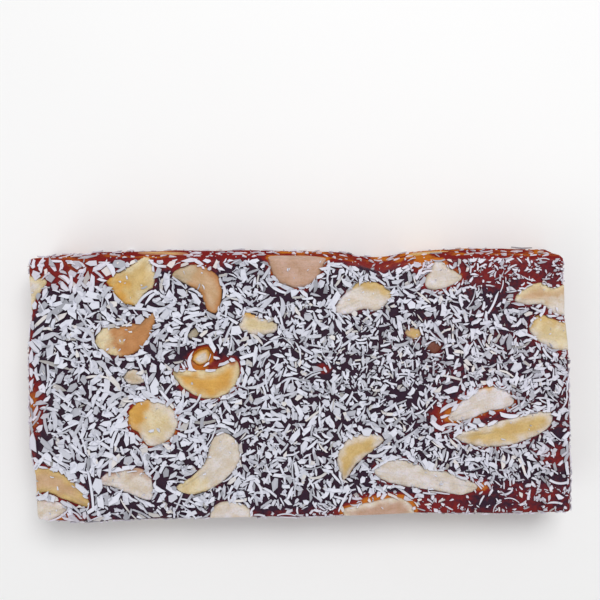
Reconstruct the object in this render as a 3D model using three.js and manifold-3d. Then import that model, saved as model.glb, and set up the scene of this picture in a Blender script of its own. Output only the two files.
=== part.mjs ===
// Nut and coconut confection: one slab cut from a tray, lying on its underside.
// Millimetres, +Z up. The origin is the middle of the underside, +X runs along the slab
// and +Y points to the long side that was cut on a slant.
//
// The slab is a soft paste with nuts pressed into its upper face and its underside.
// Desiccated coconut lies on the face and clings to the cut sides.

import * as THREE from "three";
import { mergeVertices } from "three/addons/utils/BufferGeometryUtils.js";
import Module from "manifold-3d";

const wasm = await Module();
wasm.setup();

// ---------------------------------------------------------------- driving dimensions

const THICKNESS = 14; // paste, underside to face
const ARRIS = 0.9; // rounding where the face and the underside meet the cut sides
const NUT_GAP = 0.3; // clearance between a nut and the pocket it sits in
const NUT_PROUD = 0.5; // how far the crown of a nut stands above the face
const NUT_DEPTH = 4.3; // how far a face nut reaches below the face
const BASE_NUT_DEPTH = 3.9; // how far an underside nut reaches above the underside
const BELOW_BASE = 1; // an underside nut goes on this far before it is cut level
const CHIP_DEPTH = 1.6; // a narrow nut goes this deep, and more by its width
const CHIP_DEPTH_PER_WIDTH = 0.45;

// Plan of the face: the four knife cuts, each from corner to corner, anticlockwise.
const CUTS = {
  near: [
    [-53.2, -27.3], [-46, -27.7], [-30, -27], [-8, -26.7], [10, -26.4], [24, -25.8], [38, -26], [53.6, -25.7],
  ],
  right: [[54.7, -24.6], [54.3, -16], [53.9, -3], [53.6, 7], [52.6, 15], [52.4, 25]],
  far: [[51.6, 26.2], [36, 26.3], [24, 25.7], [8, 25.6], [-12, 26], [-34, 25.8], [-53.8, 25.7]],
  left: [[-54.7, 24.6], [-54.2, 16], [-55, 9], [-55, -4], [-55, -12], [-53.9, -18], [-53.8, -26.2]],
};
const HALF_LENGTH = 54.5;
const HALF_WIDTH = 27;
const OUTLINE_STEPS = 66; // stretches of the plan outline
const SIDE_STEPS = 3; // stretches from the underside to the face

// The knife leaned, so the underside is shifted against the face on each cut.
// The far cut runs outwards on the way down, by x along the slab.
const FAR_LEAN = [[-54.5, 0.5], [-48, 1], [-42, 1.5], [-10, 1.7], [54.5, 1.6]];
const NEAR_LEAN = 0.8; // the near cut runs inwards on the way down
const RIGHT_LEAN = 0.3;
const LEFT_LEAN = 0.2;
const WAVER = 0.2; // how far the cuts wander half way up
const SIDE_WAVES = { along: 33, up: 19 }; // length of the wander on the long sides
const SIDE_RIPPLES = { along: 14.5, up: 11, share: 0.6 }; // a finer wander on them, and its share
const END_WAVES = { along: 29.5, up: 18 };
// The wander and the tear start so far out from the middle, and are whole so far out.
const SIDE_REACH = { start: 0.7, whole: 0.95 };
const END_REACH = { start: 0.85, whole: 0.97 };

// Where the far cut tore: a scoop down the whole side, deeper at the face.
const TEAR = { x: 15.5, width: 15, depth: 1.2, faceDepth: 1.3, faceHeight: 5 };

// A hollow in the face beside one of the small nuts.
// No shred lies in it or within bare of its rim.
const HOLLOW = { x: -19.6, y: 5.9, length: 12, width: 4.6, depth: 0.9, bare: 1 };

// Nuts at the face, each by a few points that its rounded outline runs through there.
// Some run on past a cut, which trims them.
const FACE_NUTS = [
  { tone: "golden", outline: [
    [-39, 21.5], [-36, 23.5], [-31, 26], [-29.5, 23.5], [-29.5, 21], [-31.5, 18.5], [-33, 16.5],
    [-36, 17], [-38, 19.5],
  ] },
  { tone: "tan", outline: [
    [-26, 22.5], [-24, 24], [-20.5, 24.5], [-17, 22.5], [-16, 19], [-17, 15], [-19, 15.5], [-20.5, 19],
    [-24, 21],
  ] },
  { tone: "rose", outline: [[-6, 27.5], [4, 27.5], [4, 23.5], [1.5, 20.5], [-2, 20], [-5.5, 22]] },
  { tone: "cream", outline: [
    [6.5, 15.5], [8.5, 19], [11.5, 21], [15, 21], [18, 18.5], [15.5, 15.5], [12, 15.5], [8.5, 14.5],
  ] },
  { tone: "white", outline: [
    [24.5, 21], [25.5, 23.5], [27, 25.5], [29.5, 24], [32, 22], [29, 20], [25.5, 19.5],
  ] },
  { tone: "golden", outline: [
    [42.5, 17.5], [44.5, 20], [47.5, 21], [50, 20], [54, 20.5], [54.5, 15], [51, 14.5], [48, 16.5],
    [44.5, 16.5],
  ] },
  { tone: "tan", outline: [
    [45.5, 12], [47.5, 14.5], [51, 13.5], [54.5, 12], [55, 8], [50.5, 7.5], [47, 9.5],
  ] },
  { tone: "brown", outline: [
    [-41.5, 9], [-40, 12], [-37.5, 12], [-33, 13], [-29.5, 15], [-30, 11.5], [-32, 8], [-36, 6],
    [-39.5, 7],
  ] },
  { tone: "cream", outline: [
    [-12.5, 12.5], [-11, 15], [-8.5, 14], [-5, 13], [-5.5, 11], [-9, 10.5], [-11.5, 11],
  ] },
  { tone: "amber", outline: [
    [-26, 3], [-22, 3.5], [-17.5, 3.5], [-13.5, 5.5], [-12.5, 2.5], [-14.5, -1], [-19, -2.5],
    [-23.5, -0.5],
  ] },
  { tone: "cream", outline: [[-22, 5.5], [-21, 7], [-19, 7.5], [-18.5, 5.5], [-20.5, 4.5]] },
  { tone: "golden", outline: [
    [-34.5, -4.5], [-31.5, -2.5], [-26.5, -4], [-25, -7.5], [-27, -11], [-31, -12], [-33, -9.5],
    [-35, -7.5],
  ] },
  { tone: "white", outline: [
    [-16, -9], [-12.5, -12], [-13, -16], [-17, -20], [-22, -22], [-25.5, -20.5], [-22, -18], [-19.5, -15],
    [-18.5, -11.5],
  ] },
  { tone: "tan", outline: [
    [-56, -17], [-51, -16.5], [-46.5, -19], [-43.5, -22.5], [-43.5, -24.5], [-48, -23], [-52, -21.5],
    [-56, -22.5],
  ] },
  { tone: "cream", outline: [
    [-55.5, -24], [-52, -23], [-49, -23.5], [-47.5, -25], [-50.5, -27], [-55.5, -28.5],
  ] },
  { tone: "rose", outline: [
    [-41, -19.5], [-38.5, -17], [-33, -16.5], [-30.5, -18.5], [-30.5, -23], [-34.5, -22], [-38, -20.5],
  ] },
  { tone: "cream", outline: [
    [-18.5, -25.5], [-16.5, -23.5], [-13, -23.5], [-10.5, -25], [-10.5, -28], [-14.5, -29.5], [-18, -28.5],
  ] },
  { tone: "tan", outline: [
    [8, -12], [10.5, -10], [14.5, -9.5], [16.5, -11], [13, -14], [11, -16], [8.5, -19], [7.5, -17],
    [7, -14.5],
  ] },
  { tone: "cream", outline: [
    [14.5, -17], [18.5, -14.5], [24, -16], [30, -17.5], [35.5, -20], [32.5, -22], [26, -21], [17.5, -19.5],
  ] },
  { tone: "tan", outline: [
    [8.5, -25], [11.5, -24], [15.5, -23], [19.5, -22.5], [22.5, -24.5], [21.5, -27], [15, -27.5],
    [9.5, -27],
  ] },
  { tone: "white", outline: [
    [29.5, -6], [32, -3], [35.5, -0.5], [39.5, 0], [42.5, -2], [42, -4], [37.5, -5], [34, -6.5], [31, -7],
  ] },
  { tone: "golden", outline: [
    [30.5, -10], [34.5, -8.5], [39.5, -7], [45, -5.5], [50, -5], [50, -8], [46, -10.5], [41, -12],
    [35, -12],
  ] },
  { tone: "cream", outline: [[20.5, 11], [22.5, 12], [24, 11], [22.5, 9.5]] },
  { tone: "brown", outline: [[25, 8], [26.5, 9.5], [28, 8], [26.5, 6.5]] },
  { tone: "cream", outline: [[-56.5, 21.5], [-52.5, 22], [-51, 21], [-53, 18], [-54, 15.5], [-56.5, 15]] },
  { tone: "cream", outline: [[-36, 2], [-34, 3.5], [-31.5, 1.5], [-32.5, 0.5], [-34.5, 0.5]] },
  { tone: "tan", outline: [[-23, 10.5], [-21.5, 12], [-20.5, 11], [-22, 9.5]] },
];

// Nuts that show at the underside, pressed level with it. x and y are the middle, turn is
// degrees anticlockwise from +X, bow is how far the middle of the bean is bent sideways,
// and taper narrows one end.
const BASE_NUTS = [
  { x: -38, y: 13.5, length: 13, width: 6, turn: -30, bow: 1, taper: 0.1, tone: "golden" },
  { x: -12.5, y: -9, length: 12, width: 5.6, turn: 62, bow: 1.2, taper: 0.2, tone: "cream" },
  { x: 19.5, y: 15.5, length: 14.4, width: 5.4, turn: 12, bow: -0.9, taper: 0.15, tone: "tan" },
  { x: 43.5, y: 3.5, length: 10.4, width: 7.4, turn: 40, taper: 0.2, tone: "white" },
  { x: -40.5, y: -14.5, length: 15, width: 5, turn: 8, bow: 1.1, tone: "cream" },
  { x: 31, y: -13.5, length: 12.4, width: 6.4, turn: -52, bow: 0.5, taper: 0.1, tone: "golden" },
  { x: -16, y: 19, length: 9, width: 5.4, turn: 15, bow: 0.3, tone: "rose" },
  { x: 9.5, y: -17.5, length: 8.2, width: 5, turn: -20, bow: 0.4, taper: 0.2, tone: "tan" },
];

// Nuts that the knife cut through half way down a side. z is the middle of the nut,
// depth its half height and reach how far it runs in from a line just inside the cut.
const SIDE_LINE = { near: -26, far: 25, right: 53.4, left: -54.6 };
const SIDE_NUTS = [
  { cut: "near", at: -31, z: 5.6, length: 12, depth: 3, reach: 3.4, tone: "cream" },
  { cut: "near", at: 32.5, z: 7.4, length: 10.4, depth: 3.6, reach: 3.2, tone: "golden" },
  { cut: "far", at: -29, z: 5.8, length: 11, depth: 2.8, reach: 3, tone: "amber" },
  { cut: "far", at: 26.5, z: 5.6, length: 9, depth: 2.8, reach: 3, tone: "golden" },
  { cut: "right", at: -8, z: 6.6, length: 9.4, depth: 3, reach: 3.4, tone: "cream" },
  { cut: "left", at: 4, z: 7.2, length: 8.4, depth: 3.2, reach: 3, tone: "golden" },
];

const LARGE_NUT = 9; // a bean at least this long has the finer facets
const facetsOf = ({ length }) => (length >= LARGE_NUT ? { round: 10, down: 6 } : { round: 8, down: 4 });

// Form of a face nut, as levels from its crown down. inset draws its outline in by so many
// millimetres, shrink draws it towards its middle, and depth is a share of its whole depth.
const NUT_LEVELS = [
  { rise: NUT_PROUD, inset: 0.4, shrink: 1, depth: 0 },
  { rise: 0, inset: 0, shrink: 1, depth: 0 },
  { rise: 0, inset: 0, shrink: 0.88, depth: 0.6 },
  { rise: 0, inset: 0, shrink: 0.45, depth: 1 },
];
const OUTLINE_FACET = 2.6; // length of a facet round a face nut
const FEWEST_FACETS = 8;
const MOST_FACETS = 16;

// Coconut: thin shreds, largest first, each sunk a little into the paste.
const SHRED_THICKNESS = 0.5;
const SHRED_SUNK = 0.18;
const SHRED_CLEAR_OF_NUT = 0.9;
const SHRED_CLEAR_OF_ARRIS = 0.5;
const SHRED_SPACING = 2.2; // between the spines of two shreds
const SHRED_END = { least: 0.45, most: 0.95 }; // width of an end against the middle
const SHRED_CURL = 0.06; // rise of the ends, against the length
const SHRED_SWEEP = 0.11; // sideways bend, against the length
const SHRED_TWIST = 0.35; // radians, middle to end
const SHRED_VARIES = { length: 0.15, width: 0.2 }; // share of the size by which shreds differ
const FACE_SHREDS = [
  { count: 24, length: 5, width: 1.5 },
  { count: 52, length: 4.1, width: 1.5 },
  { count: 62, length: 3.3, width: 1.3 },
  { count: 34, length: 2.6, width: 1.2 },
];
const SHRED_CLEAR_OF_EDGE = 0.5; // on a side, from the rounded edges above and below
const SIDE_SHREDS = [{ count: 24, length: 2.7, width: 1.1 }];
const TRIES = 300; // draws allowed for each shred
const SEED = 20;

// ---------------------------------------------------------------- materials

const finish = (color, roughness) => new THREE.MeshStandardMaterial({ color, roughness, metalness: 0 });
const PASTE_FINISH = finish(0x5a2a26, 0.35);
const NUT_FINISH = {
  golden: finish(0xcfae75, 0.55),
  tan: finish(0xc6a67c, 0.55),
  rose: finish(0xc2a291, 0.55),
  cream: finish(0xd8cab6, 0.55),
  white: finish(0xddd5cd, 0.55),
  brown: finish(0xb98a5e, 0.55),
  amber: finish(0xc89a50, 0.5),
};

// ---------------------------------------------------------------- joining and cutting

const MERGE_MM = 1e-4;

function toSolid(geometry) {
  const bare = geometry.index ? geometry.toNonIndexed() : geometry.clone();
  bare.deleteAttribute("normal");
  bare.deleteAttribute("uv");
  const merged = mergeVertices(bare, MERGE_MM);
  const vertProperties = merged.attributes.position.array;
  const triVerts = new Uint32Array(merged.index.array);
  return new wasm.Manifold(new wasm.Mesh({ numProp: 3, vertProperties, triVerts }));
}

function toGeometry(solid) {
  const { vertProperties, triVerts } = solid.getMesh();
  const geometry = new THREE.BufferGeometry();
  geometry.setAttribute("position", new THREE.BufferAttribute(new Float32Array(vertProperties), 3));
  geometry.setIndex(new THREE.BufferAttribute(new Uint32Array(triVerts), 1));
  const faceted = geometry.toNonIndexed();
  faceted.computeVertexNormals();
  return faceted;
}

// ---------------------------------------------------------------- small helpers

// A seeded draw from 0 to 1, so that the same slab comes out each time.
function seededDraw(seed) {
  let state = seed;
  return () => {
    state = (state + 0x6d2b79f5) >>> 0;
    let mixed = Math.imul(state ^ (state >>> 15), state | 1);
    mixed ^= mixed + Math.imul(mixed ^ (mixed >>> 7), mixed | 61);
    return ((mixed ^ (mixed >>> 14)) >>> 0) / 2 ** 32;
  };
}

// A draw from -half to half.
const within = (draw, half) => half * (2 * draw() - 1);

function movePoints(geometry, move) {
  const positions = geometry.attributes.position;
  const point = new THREE.Vector3();
  for (let i = 0; i < positions.count; i++) {
    move(point.fromBufferAttribute(positions, i));
    positions.setXYZ(i, point.x, point.y, point.z);
  }
  return geometry;
}

const { clamp, lerp, smoothstep, degToRad } = THREE.MathUtils;

// ---------------------------------------------------------------- the slab

// The value at a place between points of [place, value].
function between(points, place) {
  const next = clamp(points.findIndex(([end]) => end >= place), 1, points.length - 1);
  const [[start, first], [end, last]] = points.slice(next - 1, next + 1);
  return lerp(first, last, clamp((place - start) / (end - start), 0, 1));
}

const wave = (place, height, { along, up }) => Math.sin(2 * Math.PI * (place / along + height / up));

// Moves a point of the upright block to its place in the slab: each cut leans more the
// further down it is, the far cut is torn in, and all four waver a little.
function lean(point) {
  const { x, y, z } = point;
  const down = 1 - clamp(z / THICKNESS, 0, 1);
  const far = clamp(0.5 + y / (2 * HALF_WIDTH), 0, 1);
  const right = clamp(0.5 + x / (2 * HALF_LENGTH), 0, 1);
  const alongSide = smoothstep(Math.abs(y) / HALF_WIDTH, SIDE_REACH.start, SIDE_REACH.whole);
  const alongEnd = smoothstep(Math.abs(x) / HALF_LENGTH, END_REACH.start, END_REACH.whole);
  const tear = (x - TEAR.x) / (TEAR.width / 2);
  const torn = y > 0 ? alongSide * Math.exp(-2 * tear * tear) : 0;
  const nearFace = smoothstep(z, THICKNESS - TEAR.faceHeight, THICKNESS);
  const midway = Math.sin(Math.PI * clamp(z / THICKNESS, 0, 1));
  const sideWaver = WAVER * (wave(x, z, SIDE_WAVES) + SIDE_RIPPLES.share * wave(x, -z, SIDE_RIPPLES));
  const endWaver = WAVER * wave(y, z, END_WAVES);
  point.y += down * lerp(NEAR_LEAN, between(FAR_LEAN, x), far) + alongSide * midway * sideWaver;
  point.y -= torn * (TEAR.depth + TEAR.faceDepth * nearFace);
  point.x += down * lerp(-LEFT_LEAN, RIGHT_LEAN, right) + alongEnd * midway * endWaver;
  return point;
}

const cutPoints = Object.values(CUTS).flat().map(([x, y]) => new THREE.Vector3(x, y, THICKNESS));
const cutLine = new THREE.CatmullRomCurve3(cutPoints, true, "centripetal");
const plan = cutLine.getSpacedPoints(OUTLINE_STEPS).slice(0, -1);
const facePlan = plan.map((point) => lean(point.clone()));

// The uncut slab. raised lifts its face, which gives the form that trims the nuts.
function slabForm(raised = 0) {
  const block = new THREE.ExtrudeGeometry(new THREE.Shape(plan), {
    depth: THICKNESS + raised - 2 * ARRIS,
    steps: SIDE_STEPS,
    bevelThickness: ARRIS,
    bevelSize: ARRIS,
    bevelOffset: -ARRIS,
    bevelSegments: 2,
  });
  return toSolid(movePoints(block.translate(0, 0, ARRIS), lean));
}

// ---------------------------------------------------------------- nuts

// A narrow nut is a shallow chip, so its root goes no deeper than its width allows.
const rootOf = (nut, deepest) => Math.min(deepest, CHIP_DEPTH + CHIP_DEPTH_PER_WIDTH * nut.width);

const CUT_PLACE = {
  near: (at, down) => ({ x: at, y: SIDE_LINE.near + NEAR_LEAN * down, turn: 0 }),
  far: (at, down) => ({ x: at, y: SIDE_LINE.far + between(FAR_LEAN, at) * down, turn: 0 }),
  right: (at) => ({ x: SIDE_LINE.right, y: at, turn: 90 }),
  left: (at) => ({ x: SIDE_LINE.left, y: at, turn: 90 }),
};

const baseNut = (nut) => ({ ...nut, z: 0, up: rootOf(nut, BASE_NUT_DEPTH), down: BELOW_BASE });
const sideNut = (nut) => ({
  ...nut,
  ...CUT_PLACE[nut.cut](nut.at, 1 - nut.z / THICKNESS),
  width: 2 * nut.reach,
  up: nut.depth,
  down: nut.depth,
});

const nameOf = (group, i) => `nut_${group}_${`${i + 1}`.padStart(2, "0")}`;
const named = (group, nuts) => nuts.map((nut, i) => ({ ...nut, name: nameOf(group, i) }));
const BEANS = [
  ...named("base", BASE_NUTS.map(baseNut)),
  ...named("side", SIDE_NUTS.map(sideNut)),
].map((nut) => ({ bow: 0, taper: 0, ...nut }));
const CHIPS = named("face", FACE_NUTS.map(faceNut));

// The outline of a face nut evenly faceted and anticlockwise, with its middle, how far
// it spreads from there, and its depth.
function faceNut({ tone, outline }) {
  const points = outline.map(([x, y]) => new THREE.Vector3(x, y, 0));
  const curve = new THREE.CatmullRomCurve3(points, true, "catmullrom");
  const facets = clamp(Math.round(curve.getLength() / OUTLINE_FACET), FEWEST_FACETS, MOST_FACETS);
  const rim = curve.getSpacedPoints(facets).slice(0, -1).map(({ x, y }) => new THREE.Vector2(x, y));
  if (THREE.ShapeUtils.isClockWise(rim)) rim.reverse();
  const middle = rim.reduce((sum, point) => sum.add(point), new THREE.Vector2()).divideScalar(rim.length);
  const reach = Math.max(...rim.map((point) => point.distanceTo(middle)));
  const width = THREE.ShapeUtils.area(rim) / (2 * reach);
  return { tone, rim, middle, reach, depth: rootOf({ width }, NUT_DEPTH) };
}

// Moves each point of an outline outwards, square to the outline there.
function swell(outline, distance) {
  return outline.map((point, i) => {
    const before = outline[(i + outline.length - 1) % outline.length];
    const after = outline[(i + 1) % outline.length];
    const along = after.clone().sub(before).normalize();
    return new THREE.Vector2(point.x + along.y * distance, point.y - along.x * distance);
  });
}

// A closed body through rings of points from the top down, all of one count.
function stacked(rings) {
  const count = rings[0].length;
  const top = THREE.ShapeUtils.triangulateShape(rings[0], []);
  const base = THREE.ShapeUtils.triangulateShape(rings.at(-1), []);
  const last = (rings.length - 1) * count;
  const faces = [...top, ...base.map(([a, b, c]) => [last + a, last + c, last + b])];
  for (let ring = 0; ring < rings.length - 1; ring++) {
    for (let i = 0; i < count; i++) {
      const [a, b] = [ring * count + i, ring * count + ((i + 1) % count)];
      faces.push([a, a + count, b], [b, a + count, b + count]);
    }
  }
  const geometry = new THREE.BufferGeometry().setFromPoints(rings.flat());
  return toSolid(geometry.setIndex(faces.flat()));
}

// One face nut as a whole chip. grow swells it all round, which gives its pocket.
function chip({ rim, middle, depth }, grow) {
  return stacked(NUT_LEVELS.map((level, i) => {
    const drawn = rim.map((point) => point.clone().sub(middle).multiplyScalar(level.shrink).add(middle));
    const end = i === 0 ? grow : i === NUT_LEVELS.length - 1 ? -grow : 0;
    const height = THICKNESS + level.rise - level.depth * depth + end;
    return swell(drawn, grow - level.inset).map(({ x, y }) => new THREE.Vector3(x, y, height));
  }));
}

// One nut as a whole bean, likewise.
function bean(nut, grow) {
  const { round, down } = facetsOf(nut);
  const ball = new THREE.SphereGeometry(1, round, down).rotateX(Math.PI / 2);
  movePoints(ball, (point) => {
    const along = point.x;
    point.x = along * (nut.length / 2 + grow);
    point.y *= (nut.width / 2 + grow) * (1 - nut.taper * along);
    point.y += nut.bow * (0.5 - along * along);
    point.z *= (point.z > 0 ? nut.up : nut.down) + grow;
  });
  return toSolid(ball.rotateZ(degToRad(nut.turn)).translate(nut.x, nut.y, nut.z));
}

// Roughly how far a point lies outside a bean.
function outsideBean(nut, x, y, z) {
  const turn = degToRad(nut.turn);
  const along = ((x - nut.x) * Math.cos(turn) + (y - nut.y) * Math.sin(turn)) / (nut.length / 2);
  const across = (y - nut.y) * Math.cos(turn) - (x - nut.x) * Math.sin(turn);
  const half = (nut.width / 2) * (1 - nut.taper * clamp(along, -1, 1));
  const bent = (across - nut.bow * (0.5 - along * along)) / half;
  const height = (z - nut.z) / (z > nut.z ? nut.up : nut.down);
  return (Math.hypot(along, bent, height) - 1) * Math.min(nut.length / 2, half);
}

// How far a place lies outside a closed outline; negative inside it.
function outsideOutline(outline, x, y) {
  let nearest = Infinity;
  let inside = false;
  outline.forEach((start, i) => {
    const end = outline[(i + 1) % outline.length];
    const [spanX, spanY] = [end.x - start.x, end.y - start.y];
    const along = clamp(((x - start.x) * spanX + (y - start.y) * spanY) / (spanX ** 2 + spanY ** 2), 0, 1);
    nearest = Math.min(nearest, Math.hypot(x - start.x - along * spanX, y - start.y - along * spanY));
    const crosses = start.y > y !== end.y > y && x < start.x + ((y - start.y) / spanY) * spanX;
    if (crosses) inside = !inside;
  });
  return inside ? -nearest : nearest;
}

// Roughly how far a point lies outside a face nut, which reaches down by its depth.
function outsideChip({ rim, middle, reach, depth }, x, y, z) {
  const below = THICKNESS - depth - z;
  const beyond = Math.hypot(x - middle.x, y - middle.y) - reach;
  return Math.max(beyond > reach ? beyond : outsideOutline(rim, x, y), below);
}

const clearOfNuts = (x, y, z) =>
  Math.min(
    ...BEANS.map((nut) => outsideBean(nut, x, y, z)),
    ...CHIPS.map((nut) => outsideChip(nut, x, y, z)),
  );

// ---------------------------------------------------------------- coconut

// A shred: a thin strip that tapers, sweeps to one side, curls up and twists a little.
function shred({ length, width }, draw) {
  const strip = new THREE.BoxGeometry(length, width, SHRED_THICKNESS, 2, 1, 1);
  const startWidth = lerp(SHRED_END.least, SHRED_END.most, draw());
  const endWidth = lerp(SHRED_END.least, SHRED_END.most, draw());
  const curl = SHRED_CURL * length * draw();
  const sweep = within(draw, SHRED_SWEEP * length);
  const twist = within(draw, SHRED_TWIST);
  return movePoints(strip, (point) => {
    const along = point.x / (length / 2);
    const across = point.y * (1 - Math.abs(along) * (1 - (along < 0 ? startWidth : endWidth)));
    point.y = across * Math.cos(twist * along) + sweep * (along * along - 0.5);
    point.z += across * Math.sin(twist * along) + curl * along * along;
  });
}

const SPINE = [-0.5, -0.25, 0, 0.25, 0.5]; // where a shred's spine is tested, against its length

// Lays shreds of each size in turn where there is room. pick draws a place, as its
// middle, the direction of the shred and the way out of the paste, and allows tests
// each point of the shred's spine.
function layShreds(sizes, draw, pick, allows) {
  const spines = [];
  const shreds = [];
  const near = (point) => (other) => other.distanceTo(point) < SHRED_SPACING;
  const crowded = (point) => spines.some((spine) => spine.some(near(point)));
  for (const size of sizes) {
    let wanted = size.count;
    for (let tries = TRIES * size.count; tries > 0 && wanted > 0; tries--) {
      const { middle, along, out } = pick(draw);
      const grown = {
        length: size.length * (1 + within(draw, SHRED_VARIES.length)),
        width: size.width * (1 + within(draw, SHRED_VARIES.width)),
      };
      const spine = SPINE.map((part) => middle.clone().addScaledVector(along, part * grown.length));
      if (!spine.every((point) => allows(point, grown)) || spine.some(crowded)) continue;
      const lifted = middle.clone().addScaledVector(out, SHRED_THICKNESS / 2 - SHRED_SUNK);
      const turned = new THREE.Matrix4().makeBasis(along, out.clone().cross(along), out).setPosition(lifted);
      shreds.push(toSolid(shred(grown, draw).applyMatrix4(turned)));
      spines.push(spine);
      wanted--;
    }
  }
  return shreds;
}

// The direction at an angle in the plane square to out.
function inPlane(out, angle) {
  const across = new THREE.Vector3(0, 0, 1).cross(out);
  if (across.lengthSq() < 0.01) across.set(1, 0, 0);
  return across.normalize().applyAxisAngle(out, angle);
}

// How far inside the four cuts a point of the face lies; negative outside them.
const insideCuts = ({ x, y }) => -outsideOutline(facePlan, x, y);

function inHollow(x, y) {
  const along = (x - HOLLOW.x) / (HOLLOW.length / 2 + HOLLOW.bare);
  const across = (y - HOLLOW.y) / (HOLLOW.width / 2 + HOLLOW.bare);
  return Math.hypot(along, across) < 1;
}

function faceShreds(draw) {
  const pick = () => {
    const out = new THREE.Vector3(0, 0, 1);
    const middle = new THREE.Vector3(within(draw, HALF_LENGTH), within(draw, HALF_WIDTH), THICKNESS);
    return { middle, along: inPlane(out, draw() * Math.PI), out };
  };
  const allows = ({ x, y, z }, { width }) =>
    !inHollow(x, y) &&
    insideCuts({ x, y }) > ARRIS + SHRED_CLEAR_OF_ARRIS &&
    clearOfNuts(x, y, z) > SHRED_CLEAR_OF_NUT + width / 2;
  return layShreds(FACE_SHREDS, draw, pick, allows);
}

function sideShreds(draw) {
  const pick = () => {
    const at = Math.floor(draw() * plan.length);
    const height = draw() * THICKNESS;
    const start = lean(plan[at].clone().setZ(height));
    const end = lean(plan[(at + 1) % plan.length].clone().setZ(height));
    const edge = end.clone().sub(start).normalize();
    const out = new THREE.Vector3(edge.y, -edge.x, 0);
    return { middle: start.lerp(end, 0.5), along: inPlane(out, draw() * Math.PI), out };
  };
  const allows = ({ x, y, z }, { width }) =>
    Math.min(z, THICKNESS - z) > ARRIS + SHRED_CLEAR_OF_EDGE &&
    clearOfNuts(x, y, z) > SHRED_CLEAR_OF_NUT + width / 2;
  return layShreds(SIDE_SHREDS, draw, pick, allows);
}

// ---------------------------------------------------------------- the paste

function hollow() {
  const dish = new THREE.SphereGeometry(1, 14, 8).rotateX(Math.PI / 2);
  dish.scale(HOLLOW.length / 2, HOLLOW.width / 2, HOLLOW.depth);
  return toSolid(dish.translate(HOLLOW.x, HOLLOW.y, THICKNESS));
}

function pastePiece() {
  const draw = seededDraw(SEED);
  let paste = slabForm().subtract(hollow());
  for (const nut of CHIPS) paste = paste.subtract(chip(nut, NUT_GAP));
  for (const nut of BEANS) paste = paste.subtract(bean(nut, NUT_GAP));
  for (const piece of [...faceShreds(draw), ...sideShreds(draw)]) paste = paste.add(piece);
  return paste;
}

// ---------------------------------------------------------------- the exported group

const slab = new THREE.Group();

function addNode(name, solid, material) {
  const mesh = new THREE.Mesh(toGeometry(solid), material);
  mesh.name = name;
  slab.add(mesh);
}

const trimming = slabForm(NUT_PROUD);
addNode("paste", pastePiece(), PASTE_FINISH);
for (const nut of CHIPS) addNode(nut.name, chip(nut, 0).intersect(trimming), NUT_FINISH[nut.tone]);
for (const nut of BEANS) addNode(nut.name, bean(nut, 0).intersect(trimming), NUT_FINISH[nut.tone]);

export default slab;
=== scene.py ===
"""A slab of nut and coconut confection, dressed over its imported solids.

The paste, every kernel and the coconut are modelled at true size in millimetres and
scaled to metres when a piece is finished. +Z is up out of the coated face, +X runs
along the slab and +Y points to the long side whose cut leans outwards.
"""

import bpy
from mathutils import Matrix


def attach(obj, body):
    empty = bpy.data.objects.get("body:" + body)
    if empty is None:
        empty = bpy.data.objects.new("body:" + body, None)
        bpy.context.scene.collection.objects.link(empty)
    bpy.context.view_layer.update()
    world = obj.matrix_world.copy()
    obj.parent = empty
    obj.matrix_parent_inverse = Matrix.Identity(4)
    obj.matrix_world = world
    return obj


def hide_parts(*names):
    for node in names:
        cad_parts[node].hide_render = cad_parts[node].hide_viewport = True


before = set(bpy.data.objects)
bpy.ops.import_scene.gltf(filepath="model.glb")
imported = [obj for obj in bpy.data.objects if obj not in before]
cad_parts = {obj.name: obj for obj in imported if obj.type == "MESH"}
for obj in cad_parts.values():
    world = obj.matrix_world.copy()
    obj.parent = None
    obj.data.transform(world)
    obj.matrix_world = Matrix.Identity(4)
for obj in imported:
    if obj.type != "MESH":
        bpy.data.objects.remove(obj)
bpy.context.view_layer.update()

import math
from dataclasses import dataclass

import bmesh
import bpy
import numpy as np
from bpy.props import FloatProperty, FloatVectorProperty, IntProperty, PointerProperty
from mathutils import Euler, Matrix, Vector, noise

bl_info = {
    "name": "Nut and coconut confection slab",
    "version": (1, 0, 0),
    "blender": (4, 5, 0),
    "location": "View3D > Sidebar > Confection",
    "description": "Paste, kernels and coconut of a cut confection slab",
    "category": "Object",
}

MM = 0.001


# ------------------------------------------------------------------ sizes of the slab

THICKNESS = 14.0  # of the paste, from the underside to the face
ARRIS = 0.9  # rounding where the face and the underside meet the cuts
HALF_LENGTH = 54.5
HALF_WIDTH = 27.0
BASE_SUNK = 0.34  # the paste stops this far above the surface, where the pressed coconut lies

# Plan of the face: the four knife cuts, each as points along it.
NEAR_CUT = [
    (-54.5, -27), (-53.2, -27.4), (-46, -27.7), (-30, -27), (-8, -26.7), (10, -26.4), (24, -25.8), (38, -26),
    (54.5, -25.7),
]
FAR_CUT = [(-54.5, 25.7), (-34, 25.8), (-12, 26), (8, 25.6), (24, 25.7), (36, 26.3), (54.5, 26.2)]
RIGHT_CUT = [(54.6, -26), (54.3, -16), (53.9, -3), (53.6, 7), (52.6, 15), (52.3, 26)]
LEFT_CUT = [(-53.6, -27.5), (-53.9, -18), (-55, -12), (-55, -4), (-55, 9), (-54.2, 16), (-54.7, 25.5)]

# How far each cut moves from the face down to the underside: the near and the far one
# towards +Y, the far one by its place along the slab, and the ends outwards.
FAR_LEAN = [(-54.5, 0.5), (-48, 1), (-42, 1.5), (-10, 1.7), (54.5, 1.6)]
NEAR_LEAN = 0.8
RIGHT_LEAN = 0.3
LEFT_LEAN = 0.2

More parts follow.
